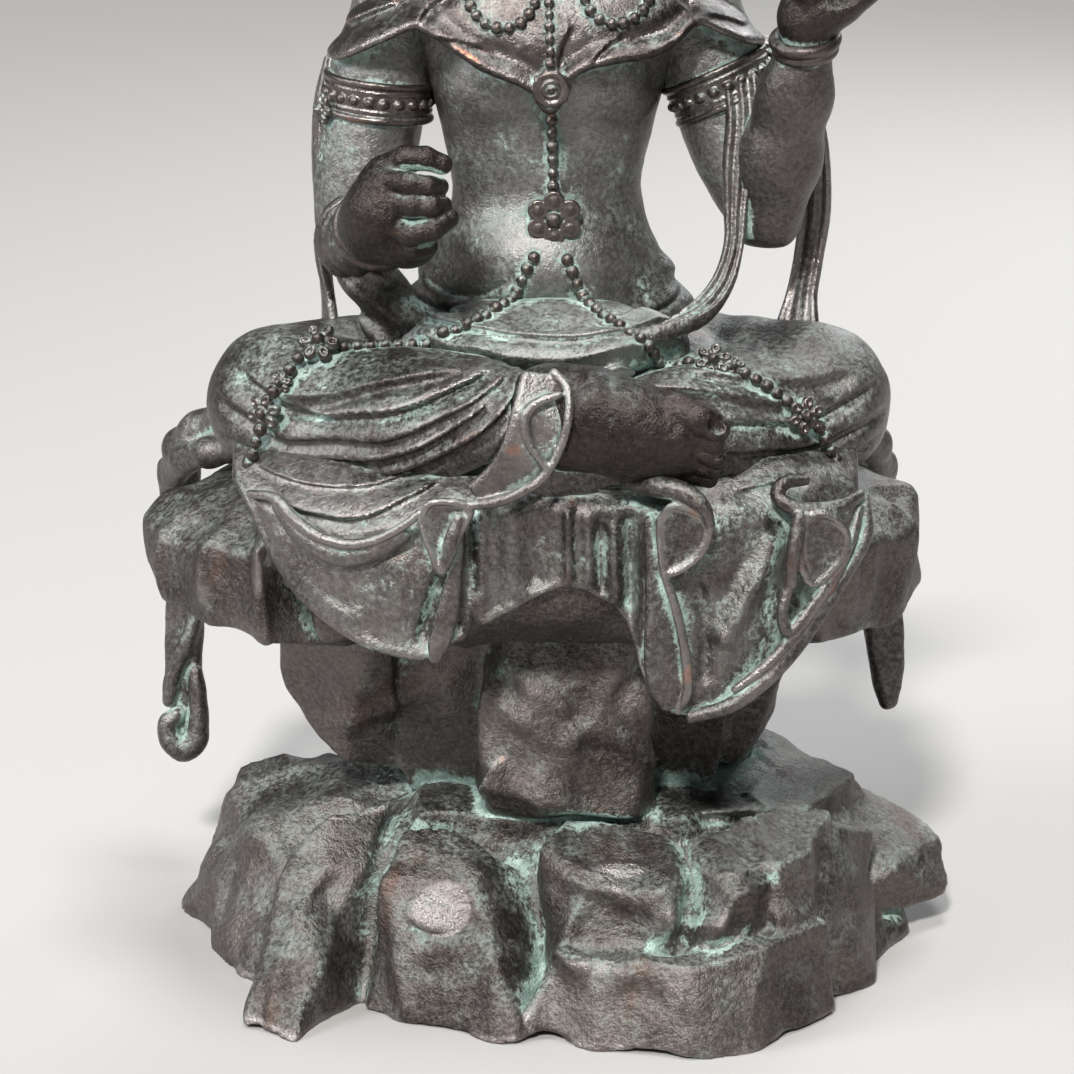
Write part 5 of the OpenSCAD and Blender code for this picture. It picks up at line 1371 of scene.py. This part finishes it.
def diadem_field(P):
    x, y, z = P
    a = np.arctan2(x / 21.4, -(y - 1) / 18.6)
    s = a * 20.4
    rad = np.hypot(x / 21.4, (y - 1) / 18.6)
    out = (rad - 1) * 19.6
    reach = np.abs(s) - 21.4
    h = z - 168

    def plate(u, v, hw, tall, thick):
        """A pointed leaf with a raised edge and a jewel low in its middle."""
        t = np.clip(v / tall, 0, 1)
        half = hw * np.maximum(np.sin(np.pi * (0.30 + 0.70 * t)), 0) ** 0.8 + 0.15
        body = smax(np.maximum(np.abs(u) - half, np.maximum(v - tall, -v - 1.6)) * 0.8, np.abs(out) - thick,
            0.5)
        edge_ = np.hypot(np.abs(np.abs(u) - half * 0.9), out - thick * 0.6) - 0.55
        edge_ = np.maximum(edge_, np.maximum(v - tall * 0.97, -v - 1.4))
        d_ = smin(body, edge_ * 0.9, 0.4)
        jewel = np.sqrt(u ** 2 + ((v - tall * 0.34) / 1.25) ** 2 + (out - thick) ** 2) - hw * 0.34
        return smin(d_, jewel, 0.3)

    strip = smax(np.maximum(np.abs(h) - 2.1, reach), np.abs(out) - 1.1, 0.5)
    for v in (-1.9, 1.9):
        strip = smin(strip, np.maximum(np.hypot(h - v, out - 1.0) - 0.7, reach), 0.3)
    t = s / 3.2
    t = (t - np.round(t)) * 3.2
    strip = smin(strip, np.maximum(np.sqrt(t * t + h * h + (out - 1.1) ** 2) - 0.95, reach), 0.2)
    d = strip
    for c, hw, tall in ((0, 5.2, 15), (-10.6, 4.0, 10.5), (10.6, 4.0, 10.5), (-18.6, 3.2, 8.5),
            (18.6, 3.2, 8.5)):
        d = smin(d, plate(s - c, h - 1.6, hw, tall, 0.95), 0.5)
    d = smax(d, (np.abs(a) - 1.45) * 12, 0.5)
    return np.clip(d * 0.85, -20, 20) + grit(P, 0.3)


# ---------------------------------------------------------------- the figure: beads and flowers

LEFT_FESTOON = [(-18.4, -20.6, 117), (-17.6, -22.2, 112), (-14.6, -23.4, 108), (-10.2, -23.8, 106.6),
                (-5.6, -23.8, 108), (-2.6, -23, 112), (-1.6, -21.6, 116)]
RIGHT_FESTOON = [(7.6, -21.4, 116.6), (8.6, -23, 112), (11.4, -23.8, 108.6), (15.6, -23.8, 107.4),
                 (19.8, -23, 108.8), (22.8, -21.6, 112), (24, -20, 116)]


def laid(path, f, lift, way=(0, -1, 0), reach=30):
    """The path with each point moved along way until it rests on the field f."""
    t = np.arange(reach, -reach, -0.1)
    out = []
    for p in curve(path, 2):
        q = [p[i] + way[i] * t for i in range(3)]
        d = f(tuple(v.astype(np.float32) for v in q))
        k = np.argmax(d < 0)
        out.append(tuple(q[i][k] + way[i] * lift for i in range(3)) if d[k] < 0 else tuple(p[:3]))
    return out


LEFT_FESTOON, RIGHT_FESTOON = laid(LEFT_FESTOON, cape_field, 0.7), laid(RIGHT_FESTOON, cape_field, 0.7)
CHEST_STRAND = laid([(0.4, -20, 114), (0.5, -20, 106), (0.7, -20, 99)], cape_field, 0.7)
BELLY_STRAND = laid([(0.9, -20, 87.6), (1.2, -20, 79), (1.4, -20, 69)], torso_field, 0.9)


def festoon_field(P):
    return smin(beads(P, LEFT_FESTOON, 1.35), beads(P, RIGHT_FESTOON, 1.35), 0.2) + grit(P, 0.2)


def chest_bead_field(P):
    d = smin(beads(P, CHEST_STRAND, 1.15, 1.15), beads(P, BELLY_STRAND, 1.35, 1.2, 0.3, 0.8), 0.2)
    return d + grit(P, 0.2)


def rosette_field(P):
    x, y, z = P[0] - 0.8, P[1] + 25.4, P[2] - 93.6
    rad = np.hypot(x, z)
    d = smax(rad - 3.6, np.abs(y) - 1.3, 0.5)
    d = smin(d, np.hypot(rad - 3.4, y + 0.9) - 0.8, 0.3)
    d = smin(d, np.hypot(rad - 1.7, y + 1.3) - 0.5, 0.2)
    d = smin(d, egg(P, (0.8, -26.8, 93.6), (1.1, 1.0, 1.1)), 0.2)
    for i in range(10):
        t = i * math.pi / 5
        d = smin(d, ball(P, (0.8 + 3.9 * math.cos(t), -26, 93.6 + 3.9 * math.sin(t)), 0.75), 0.2)
    d = smin(d, tube(P, [(-2.2, -22.4, 91, 1.0), (0.6, -22.6, 88.6, 1.5), (3.4, -22.4, 91, 1.0)], 3), 0.6)
    return np.clip(d, -9, 30) + grit(P, 0.2)


def pendant_field(P):
    """Six broad round petals, touching, round a domed heart."""
    c = (1.6, -17, 62)
    d = egg(P, (c[0], c[1] - 1.2, c[2]), (1.9, 1.6, 1.9))
    d = smin(d, np.maximum(np.hypot(P[0] - c[0], P[2] - c[2]) - 4.6, np.abs(P[1] - c[1] - 0.4) - 0.8), 0.4)
    for i in range(6):
        t = 0.52 + i * math.pi / 3
        e = (c[0] + 4.2 * math.cos(t), c[1], c[2] + 4.2 * math.sin(t))
        leaf_ = smin(egg(P, e, (2.35, 1.5, 2.35)), np.hypot(np.hypot(P[0] - e[0], P[2] - e[2]) - 1.9,
            P[1] - e[1] + 0.7) - 0.55, 0.3)
        d = smin(d, leaf_, 0.25)
    return d + grit(P, 0.25)


RIGHT_STRAND = [(-3.0, -20.6, 54), (-6, -22, 50), (-9.4, -24.6, 46), (-14.4, -27.6, 41.6),
                (-20, -30.2, 38.6), (-27, -31.4, 37.2), (-36, -31.8, 36.8), (-46, -31.8, 36.4)]
RIGHT_LOW = [(-56.4, -34.4, 33.6), (-59.4, -36.4, 30), (-62.2, -37.4, 26), (-65, -38, 18),
             (-67, -37.2, 12), (-69, -34.8, 6.6)]
LEFT_STRAND = [(4.6, -20.6, 53.6), (7.4, -22.4, 48.6), (10.6, -25, 44), (15.4, -29.4, 39.4),
               (22, -33.6, 36.2), (32, -36, 34.2)]
LEFT_LOW = [(42, -38, 32.4), (48, -39.4, 29.6), (54, -40.2, 25.4)]
LEFT_END = [(61.6, -39, 18.6), (64.6, -37, 12.8), (66.8, -34, 7)]


def worn_cloth(P):
    return np.minimum.reduce([lap_field(P), apron_field(P), torso_field(P)])


SLOPE = (0, -0.7, 0.7)
RIGHT_STRAND, LEFT_STRAND = laid(RIGHT_STRAND, worn_cloth, 0.6, SLOPE, 10), laid(LEFT_STRAND, worn_cloth,
    0.6, SLOPE, 10)


def right_lap_bead_field(P):
    return smin(beads(P, RIGHT_STRAND, 1.45, 1.08), beads(P, RIGHT_LOW, 1.5, 1.04), 0.2) + grit(P, 0.2)


def left_lap_bead_field(P):
    d = smin(beads(P, LEFT_STRAND, 1.45, 1.06), beads(P, LEFT_LOW, 1.5, 1.04), 0.2)
    return smin(d, beads(P, LEFT_END, 1.5, 1.04), 0.2) + grit(P, 0.2)


def lap_flower_field(P):
    d = flower(P, (-51.6, -33, 37), 4.6, 6, 2.6, 0, (-0.1, -0.7, 0.7))
    for c, r, t in (((-64, -38, 22), 4.2, (-0.5, -0.9, 0.1)), ((37.4, -37.6, 34), 4.0, (0, -0.8, 0.6)),
            ((58.2, -40.6, 22), 4.2, (0.3, -0.9, 0.2)), ((-60, -36.8, 28.6), 2.6, (-0.4, -0.9, 0.3)),
            ((42, -38, 32.6), 2.6, (0, -0.8, 0.5))):
        d = smin(d, flower(P, c, r, 6, 2.3, 0.3, t), 0.2)
    return d + grit(P, 0.2)


# ---------------------------------------------------------------- the figure: the scarf


def right_arm_scarf_field(P):
    outer = ribbon(P, [(-50.2, 8, 94, 2.4), (-52.4, 5, 84, 3.0), (-53, 3, 72, 3.0), (-52.6, 2, 60, 3.0),
        (-52, 1, 48, 2.6), (-51.4, 0, 40, 2.8), (-50.8, -1, 33, 4)], (0.35, -1, 0), 1.2, pleats=2,
        depth=0.25)
    wrap = ribbon(P, [(-35, -9, 62, 1.6), (-37, -16, 66.4, 2.2), (-42, -20, 68.2, 2.5),
        (-48, -20.6, 65, 2.6), (-51.6, -17, 58.4, 2.4), (-52, -11, 51, 2.2), (-51.4, -5, 44, 2.0)],
        (0.2, -1, 0.35), 1.2, pleats=2, depth=0.25)
    return smin(outer, wrap, 1.2) + grit(P, 0.5)


def left_inner_scarf_field(P):
    d = ribbon(P, [(44, -9, 92, 4.6), (44.6, -12, 84, 4.4), (43.6, -14.4, 74, 4.0), (43, -16.4, 64, 3.0),
        (42.6, -18.6, 56, 2.6), (40, -22, 48, 3.0), (34.6, -26, 42, 3.4), (26, -30.4, 38.6, 3.6),
        (17, -34, 37, 2.6)], (1, 0.15, 0.35), 1.5, pleats=3, depth=0.3)
    return d + grit(P, 0.5)


def left_outer_scarf_field(P):
    d = ribbon(P, [(44, 8, 98, 1.6), (51, 8, 97, 2.2), (57.6, 5.6, 91, 2.6), (61, 3.6, 82, 2.8),
        (62.6, 3.4, 72, 3.0), (62.8, 3.4, 60, 3.4), (61.4, 2.6, 48, 3.2), (60, 1, 40, 3.4),
        (59, -2, 34, 4.6)], (1, -0.35, 0), 1.5, pleats=2, depth=0.3)
    return d + grit(P, 0.5)


def right_tail_field(P):
    """A thick rolled end of the scarf, over the rock's side and down behind it to a curled tip."""
    top = chain(P, [(-60, 0, 8, 3.4), (-68, 8, 7, 4.4), (-77, 14, 4.6, 4.8), (-84, 19, 1, 4.8),
        (-89, 25, -5, 4.4), (-91, 31, -14, 4.2)], 3)
    top = smin(top, chain(P, [(-62, -6, 4, 2.4), (-71, -1, 2.6, 3.2), (-81, 6, -0.6, 3.4),
        (-88, 15, -5, 3.2), (-92, 25, -13, 3.0)], 3), 2.4)
    back = ribbon(P, [(-91, 31, -12, 5.4), (-91, 34, -30, 5.0), (-91, 35, -46, 5.0), (-91.4, 35, -58, 5.2),
        (-92, 35, -68, 4.8), (-91, 34.4, -78, 4.2), (-90.4, 34, -86, 3.2)], (1, -0.35, 0), 2.3)
    fold = tube(P, [(-87.4, 32, -50, 1.6), (-90.4, 31.4, -58, 2.1), (-94, 31.6, -66, 2.1),
        (-95.6, 32, -74, 1.6)], 3)
    curl = tube(P, [(-88.6, 32, -66, 1.8), (-88, 31, -76, 2.6), (-88.8, 31, -83, 3.2),
        (-91.6, 31, -86.6, 3.2), (-95, 31, -84.6, 3.0), (-96, 31.4, -80, 2.6), (-93.6, 31.6, -77.6, 2.2)])
    return smin(smin(top, smin(back, fold, 1.0), 2.5), curl, 1.0) + 0.3 * noise(P, 5, 31) + grit(P, 0.8)


def left_tail_field(P):
    """The other end: a plain tongue of cloth with one soft fold."""
    top = chain(P, [(60, 2, 7, 3.2), (67, 8, 5.6, 4.2), (74, 14, 2.4, 4.4), (79.6, 22, -3, 4.2),
        (82, 29, -12, 4.0)], 3)
    back = ribbon(P, [(82, 29, -10, 4.6), (83, 34, -28, 4.8), (84, 36, -46, 5.0), (85.4, 36, -60, 4.8),
        (86.6, 35.6, -70, 4.0), (87, 35.4, -75, 2.6)], (1, 0.5, 0), 2.4)
    ridge = tube(P, [(87, 35, -34, 1.2), (88, 36, -50, 1.8), (89, 36, -62, 1.8), (88.6, 35.4, -71, 1.3)], 3)
    return smin(smin(top, back, 3), ridge, 1.6) + 0.3 * noise(P, 5, 32) + grit(P, 0.8)


# ---------------------------------------------------------------- cast everything

LAP_BEADS = (right_lap_bead_field, left_lap_bead_field, lap_flower_field)
CHEST = (chest_bead_field, rosette_field, pendant_field)
BRACE_R = lambda P: near(P, [(-38, -39, 65, 12)], lambda Q: bracelet_field(Q, BRACELET_R, 7.6), 3.0)
BRACE_L = lambda P: near(P, [(59, -21, 103, 10)], lambda Q: bracelet_field(Q, BRACELET_L, 6.2), 3.0)

cast("robe.lap", lap_field, (-81, -63, -1), (81, 36, 45), 0.6, "lap", ROBE,
    (*LAP_BEADS, apron_field, foot_field))
cast("robe.skirt", skirt_field, (-75, -70, -46), (76, -28, 16), 0.5, "robe_skirt", ROBE,
    (hem_right_field, hem_middle_field, hem_left_field, legs))
cast("robe.hem_right", hem_right_field, (-33, -70, -31), (-14, -60, 13), 0.34, "hem_fold_right", ROBE,
    (skirt_field,))
cast("robe.hem_middle", hem_middle_field, (16, -72, -43), (40, -56, 16), 0.34, "hem_fold_middle", ROBE,
    (skirt_field,))
cast("robe.hem_left", hem_left_field, (32, -67, -44), (75, -43, 13), 0.36, "hem_fold_left", ROBE,
    (skirt_field,))
cast("robe.hem_roll", hem_roll_field, (-71, -71, -8), (8, -40, 41), 0.4, "hem_roll", ROBE,
    (skirt_field, legs))
cast("right_foot.skin", foot_field, (-12, -72, 8), (43, -40, 40), 0.4, "right_foot", DARK, (legs,))
cast("robe.apron", apron_field, (-37, -44, 24), (35, -4, 50), 0.45, "waist_apron", PALE_CLOTH,
    (*LAP_BEADS, torso_field))
cast("body.torso", torso_field, (-39, -24, 22), (39, 30, 126), 0.6, "torso", PALE_CLOTH,
    (*CHEST, *LAP_BEADS, cape_field))
cast("robe.cape", cape_field, (-53, -29, 89), (53, 29, 125), 0.5, "shoulder_cape", CAPE_METAL,
    (festoon_field, chest_bead_field, rosette_field))
cast("right_arm.upper", right_arm_field, (-56, -13, 44), (-22, 16, 118), 0.5, "right_upper_arm", PALE_SKIN,
    (right_armlet_field, cape_field, right_arm_scarf_field))
cast("right_arm.fore", right_forearm_field, (-55, -43, 43), (-30, 6, 72), 0.45, "right_forearm", SKIN,
    (right_arm_scarf_field, BRACE_R))
cast("right_arm.hand", right_hand_field, (-48, -60, 54), (-17, -28, 88), 0.28, "right_hand", DARK, (BRACE_R,))
cast("left_arm.upper", left_arm_field, (22, -15, 50), (62, 16, 118), 0.5, "left_upper_arm", PALE_SKIN,
    (left_armlet_field, cape_field, left_inner_scarf_field))
cast("left_arm.fore", left_forearm_field, (40, -30, 50), (67, 3, 110), 0.45, "left_forearm", SKIN,
    (left_inner_scarf_field, left_outer_scarf_field, BRACE_L))
cast("left_arm.hand", left_hand_field, (50, -38, 97), (86, -14, 139), 0.28, "left_hand", DARK, (BRACE_L,))
cast("right_arm.armlet", right_armlet_field, (-57, -16, 74), (-24, 17, 96), 0.3, "right_armlet", JEWEL)
cast("left_arm.armlet", left_armlet_field, (24, -14, 76), (58, 17, 100), 0.3, "left_armlet", JEWEL)
cast("right_arm.bracelet", BRACE_R, (-50, -50, 52), (-27, -28, 77), 0.3, "right_bracelet", JEWEL)
cast("left_arm.bracelet", BRACE_L, (48, -32, 95), (69, -12, 111), 0.3, "left_bracelet", JEWEL)
cast("right_arm.sleeve", sleeve_field, (-51, -32, 27), (-20, -2, 56), 0.45, "right_sleeve", ROBE)
cast("face.head", head_field, (-20, -24, 117), (20, 25, 183), 0.36, "head", SKIN,
    (hair_field, mirrored(ear_field)))
cast("face.ears", mirrored(ear_field), (-23, -3, 130), (23, 11, 166), 0.3, "ears", SKIN)
cast("hair.cap", hair_field, (-22, -18, 137), (22, 27, 190), 0.4, "hair", HAIR, (topknot_field,))
cast("hair.knot", topknot_field, (-17, -11, 180), (17, 18, 217), 0.36, "topknot", HAIR)
cast("hair.locks", mirrored(lock_field), (-40, -9, 112), (40, 14, 152), 0.3, "hair_locks", HAIR)
cast("crown.diadem", diadem_field, (-24, -21, 163), (24, 3, 186), 0.27, "diadem", JEWEL)
cast("jewels.festoons", festoon_field, (-21, -27, 103), (27, -17, 119), 0.26, "necklace_festoons", JEWEL)
cast("jewels.chest_beads", chest_bead_field, (-2, -28, 66), (4, -14, 116), 0.24, "chest_beads", JEWEL)
cast("jewels.rosette", rosette_field, (-5, -30, 86), (7, -20, 99), 0.2, "chest_rosette", JEWEL)
cast("jewels.pendant", pendant_field, (-7, -22, 54), (10, -12, 70), 0.2, "flower_pendant", JEWEL)
cast("jewels.right_beads", right_lap_bead_field, (-72, -41, 3), (0, -17, 57), 0.28, "right_lap_beads", JEWEL)
cast("jewels.left_beads", left_lap_bead_field, (2, -44, 4), (70, -17, 57), 0.28, "left_lap_beads", JEWEL)
cast("jewels.flowers", lap_flower_field, (-70, -46, 14), (66, -27, 43), 0.26, "lap_bead_flowers", JEWEL)
cast("scarf.right_arm", right_arm_scarf_field, (-57, -25, 28), (-32, 13, 98), 0.35, "right_arm_scarf", ROBE)
cast("scarf.left_inner", left_inner_scarf_field, (13, -39, 32), (51, -4, 96), 0.35, "left_inner_scarf", ROBE)
cast("scarf.left_outer", left_outer_scarf_field, (40, -7, 28), (70, 13, 103), 0.35, "left_outer_scarf", ROBE)
cast("scarf.right_tail", right_tail_field, (-101, -12, -94), (-55, 43, 16), 0.45, "right_scarf_tail", ROBE)
cast("scarf.left_tail", left_tail_field, (54, -10, -80), (93, 44, 15), 0.45, "left_scarf_tail", ROBE)

# ---------------------------------------------------------------- fixings, stage, light and camera

for name, (slot, mat) in (("base_plate", BRASS), ("base_screws", STEEL), ("peg_sockets", BRASS),
                          ("tie_rod", STEEL), ("tie_washers", STEEL), ("tie_nuts", STEEL),
                          ("locating_pegs", STEEL)):
    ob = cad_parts[name]
    ob.data.materials.clear()
    ob.data.materials.append(mat)


def plain(name, colour, rough):
    mat = bpy.data.materials.new(name)
    mat.use_nodes = True
    sh = mat.node_tree.nodes["Principled BSDF"]
    sh.inputs["Base Color"].default_value = (*colour, 1)
    sh.inputs["Roughness"].default_value = rough
    return mat


def lamp(name, at, aim, size, watts, colour):
    li = bpy.data.lights.new(name, "AREA")
    li.shape, li.size, li.energy, li.color = "DISK", size, watts, colour
    ob = bpy.data.objects.new(name, li)
    ob.location = at
    ob.rotation_euler = (mathutils.Vector(aim) - mathutils.Vector(at)).to_track_quat("-Z", "Y").to_euler()
    bpy.context.scene.collection.objects.link(ob)


FLOOR = 40     # half the floor's width, in metres, so that its edge is never in view
me = bpy.data.meshes.new("floor")
me.from_pydata([(-FLOOR, -FLOOR, 0), (FLOOR, -FLOOR, 0), (FLOOR, FLOOR, 0), (-FLOOR, FLOOR, 0)], [],
    [(0, 1, 2, 3)])
floor = bpy.data.objects.new("floor", me)
me.materials.append(plain("pale floor", (0.44, 0.43, 0.42), 0.8))
bpy.context.scene.collection.objects.link(floor)

world = bpy.data.worlds.new("studio")
world.use_nodes = True
world.node_tree.nodes["Background"].inputs[0].default_value = (0.80, 0.84, 0.88, 1)
world.node_tree.nodes["Background"].inputs[1].default_value = 0.15
bpy.context.scene.world = world
sun = bpy.data.lights.new("key", "SUN")
sun.energy, sun.angle, sun.color = 3.8, 0.12, (1.0, 0.98, 0.95)
high = bpy.data.objects.new("key", sun)
high.rotation_euler = mathutils.Vector((0.15, 0.70, -0.70)).to_track_quat("-Z", "Y").to_euler()
bpy.context.scene.collection.objects.link(high)
lamp("side", (-0.85, -0.25, 0.65), (0, 0, 0.12), 0.4, 6, (0.93, 0.97, 1.0))
lamp("top", (0.1, -0.1, 1.1), (0, 0, 0.12), 0.3, 6, (1.0, 1.0, 1.0))
lamp("rim", (0.45, 0.9, 0.7), (0, 0, 0.15), 0.6, 6, (0.95, 0.98, 1.0))

cam = bpy.data.cameras.new("camera")
cam.sensor_width, cam.lens = 36, 118.7
eye = bpy.data.objects.new("camera", cam)
eye.location = (-0.0043, -0.8084, 0.3627)
eye.rotation_euler = (math.radians(72), 0, 0)
bpy.context.scene.collection.objects.link(eye)
bpy.context.scene.camera = eye
bpy.context.scene.view_settings.view_transform = "Standard"
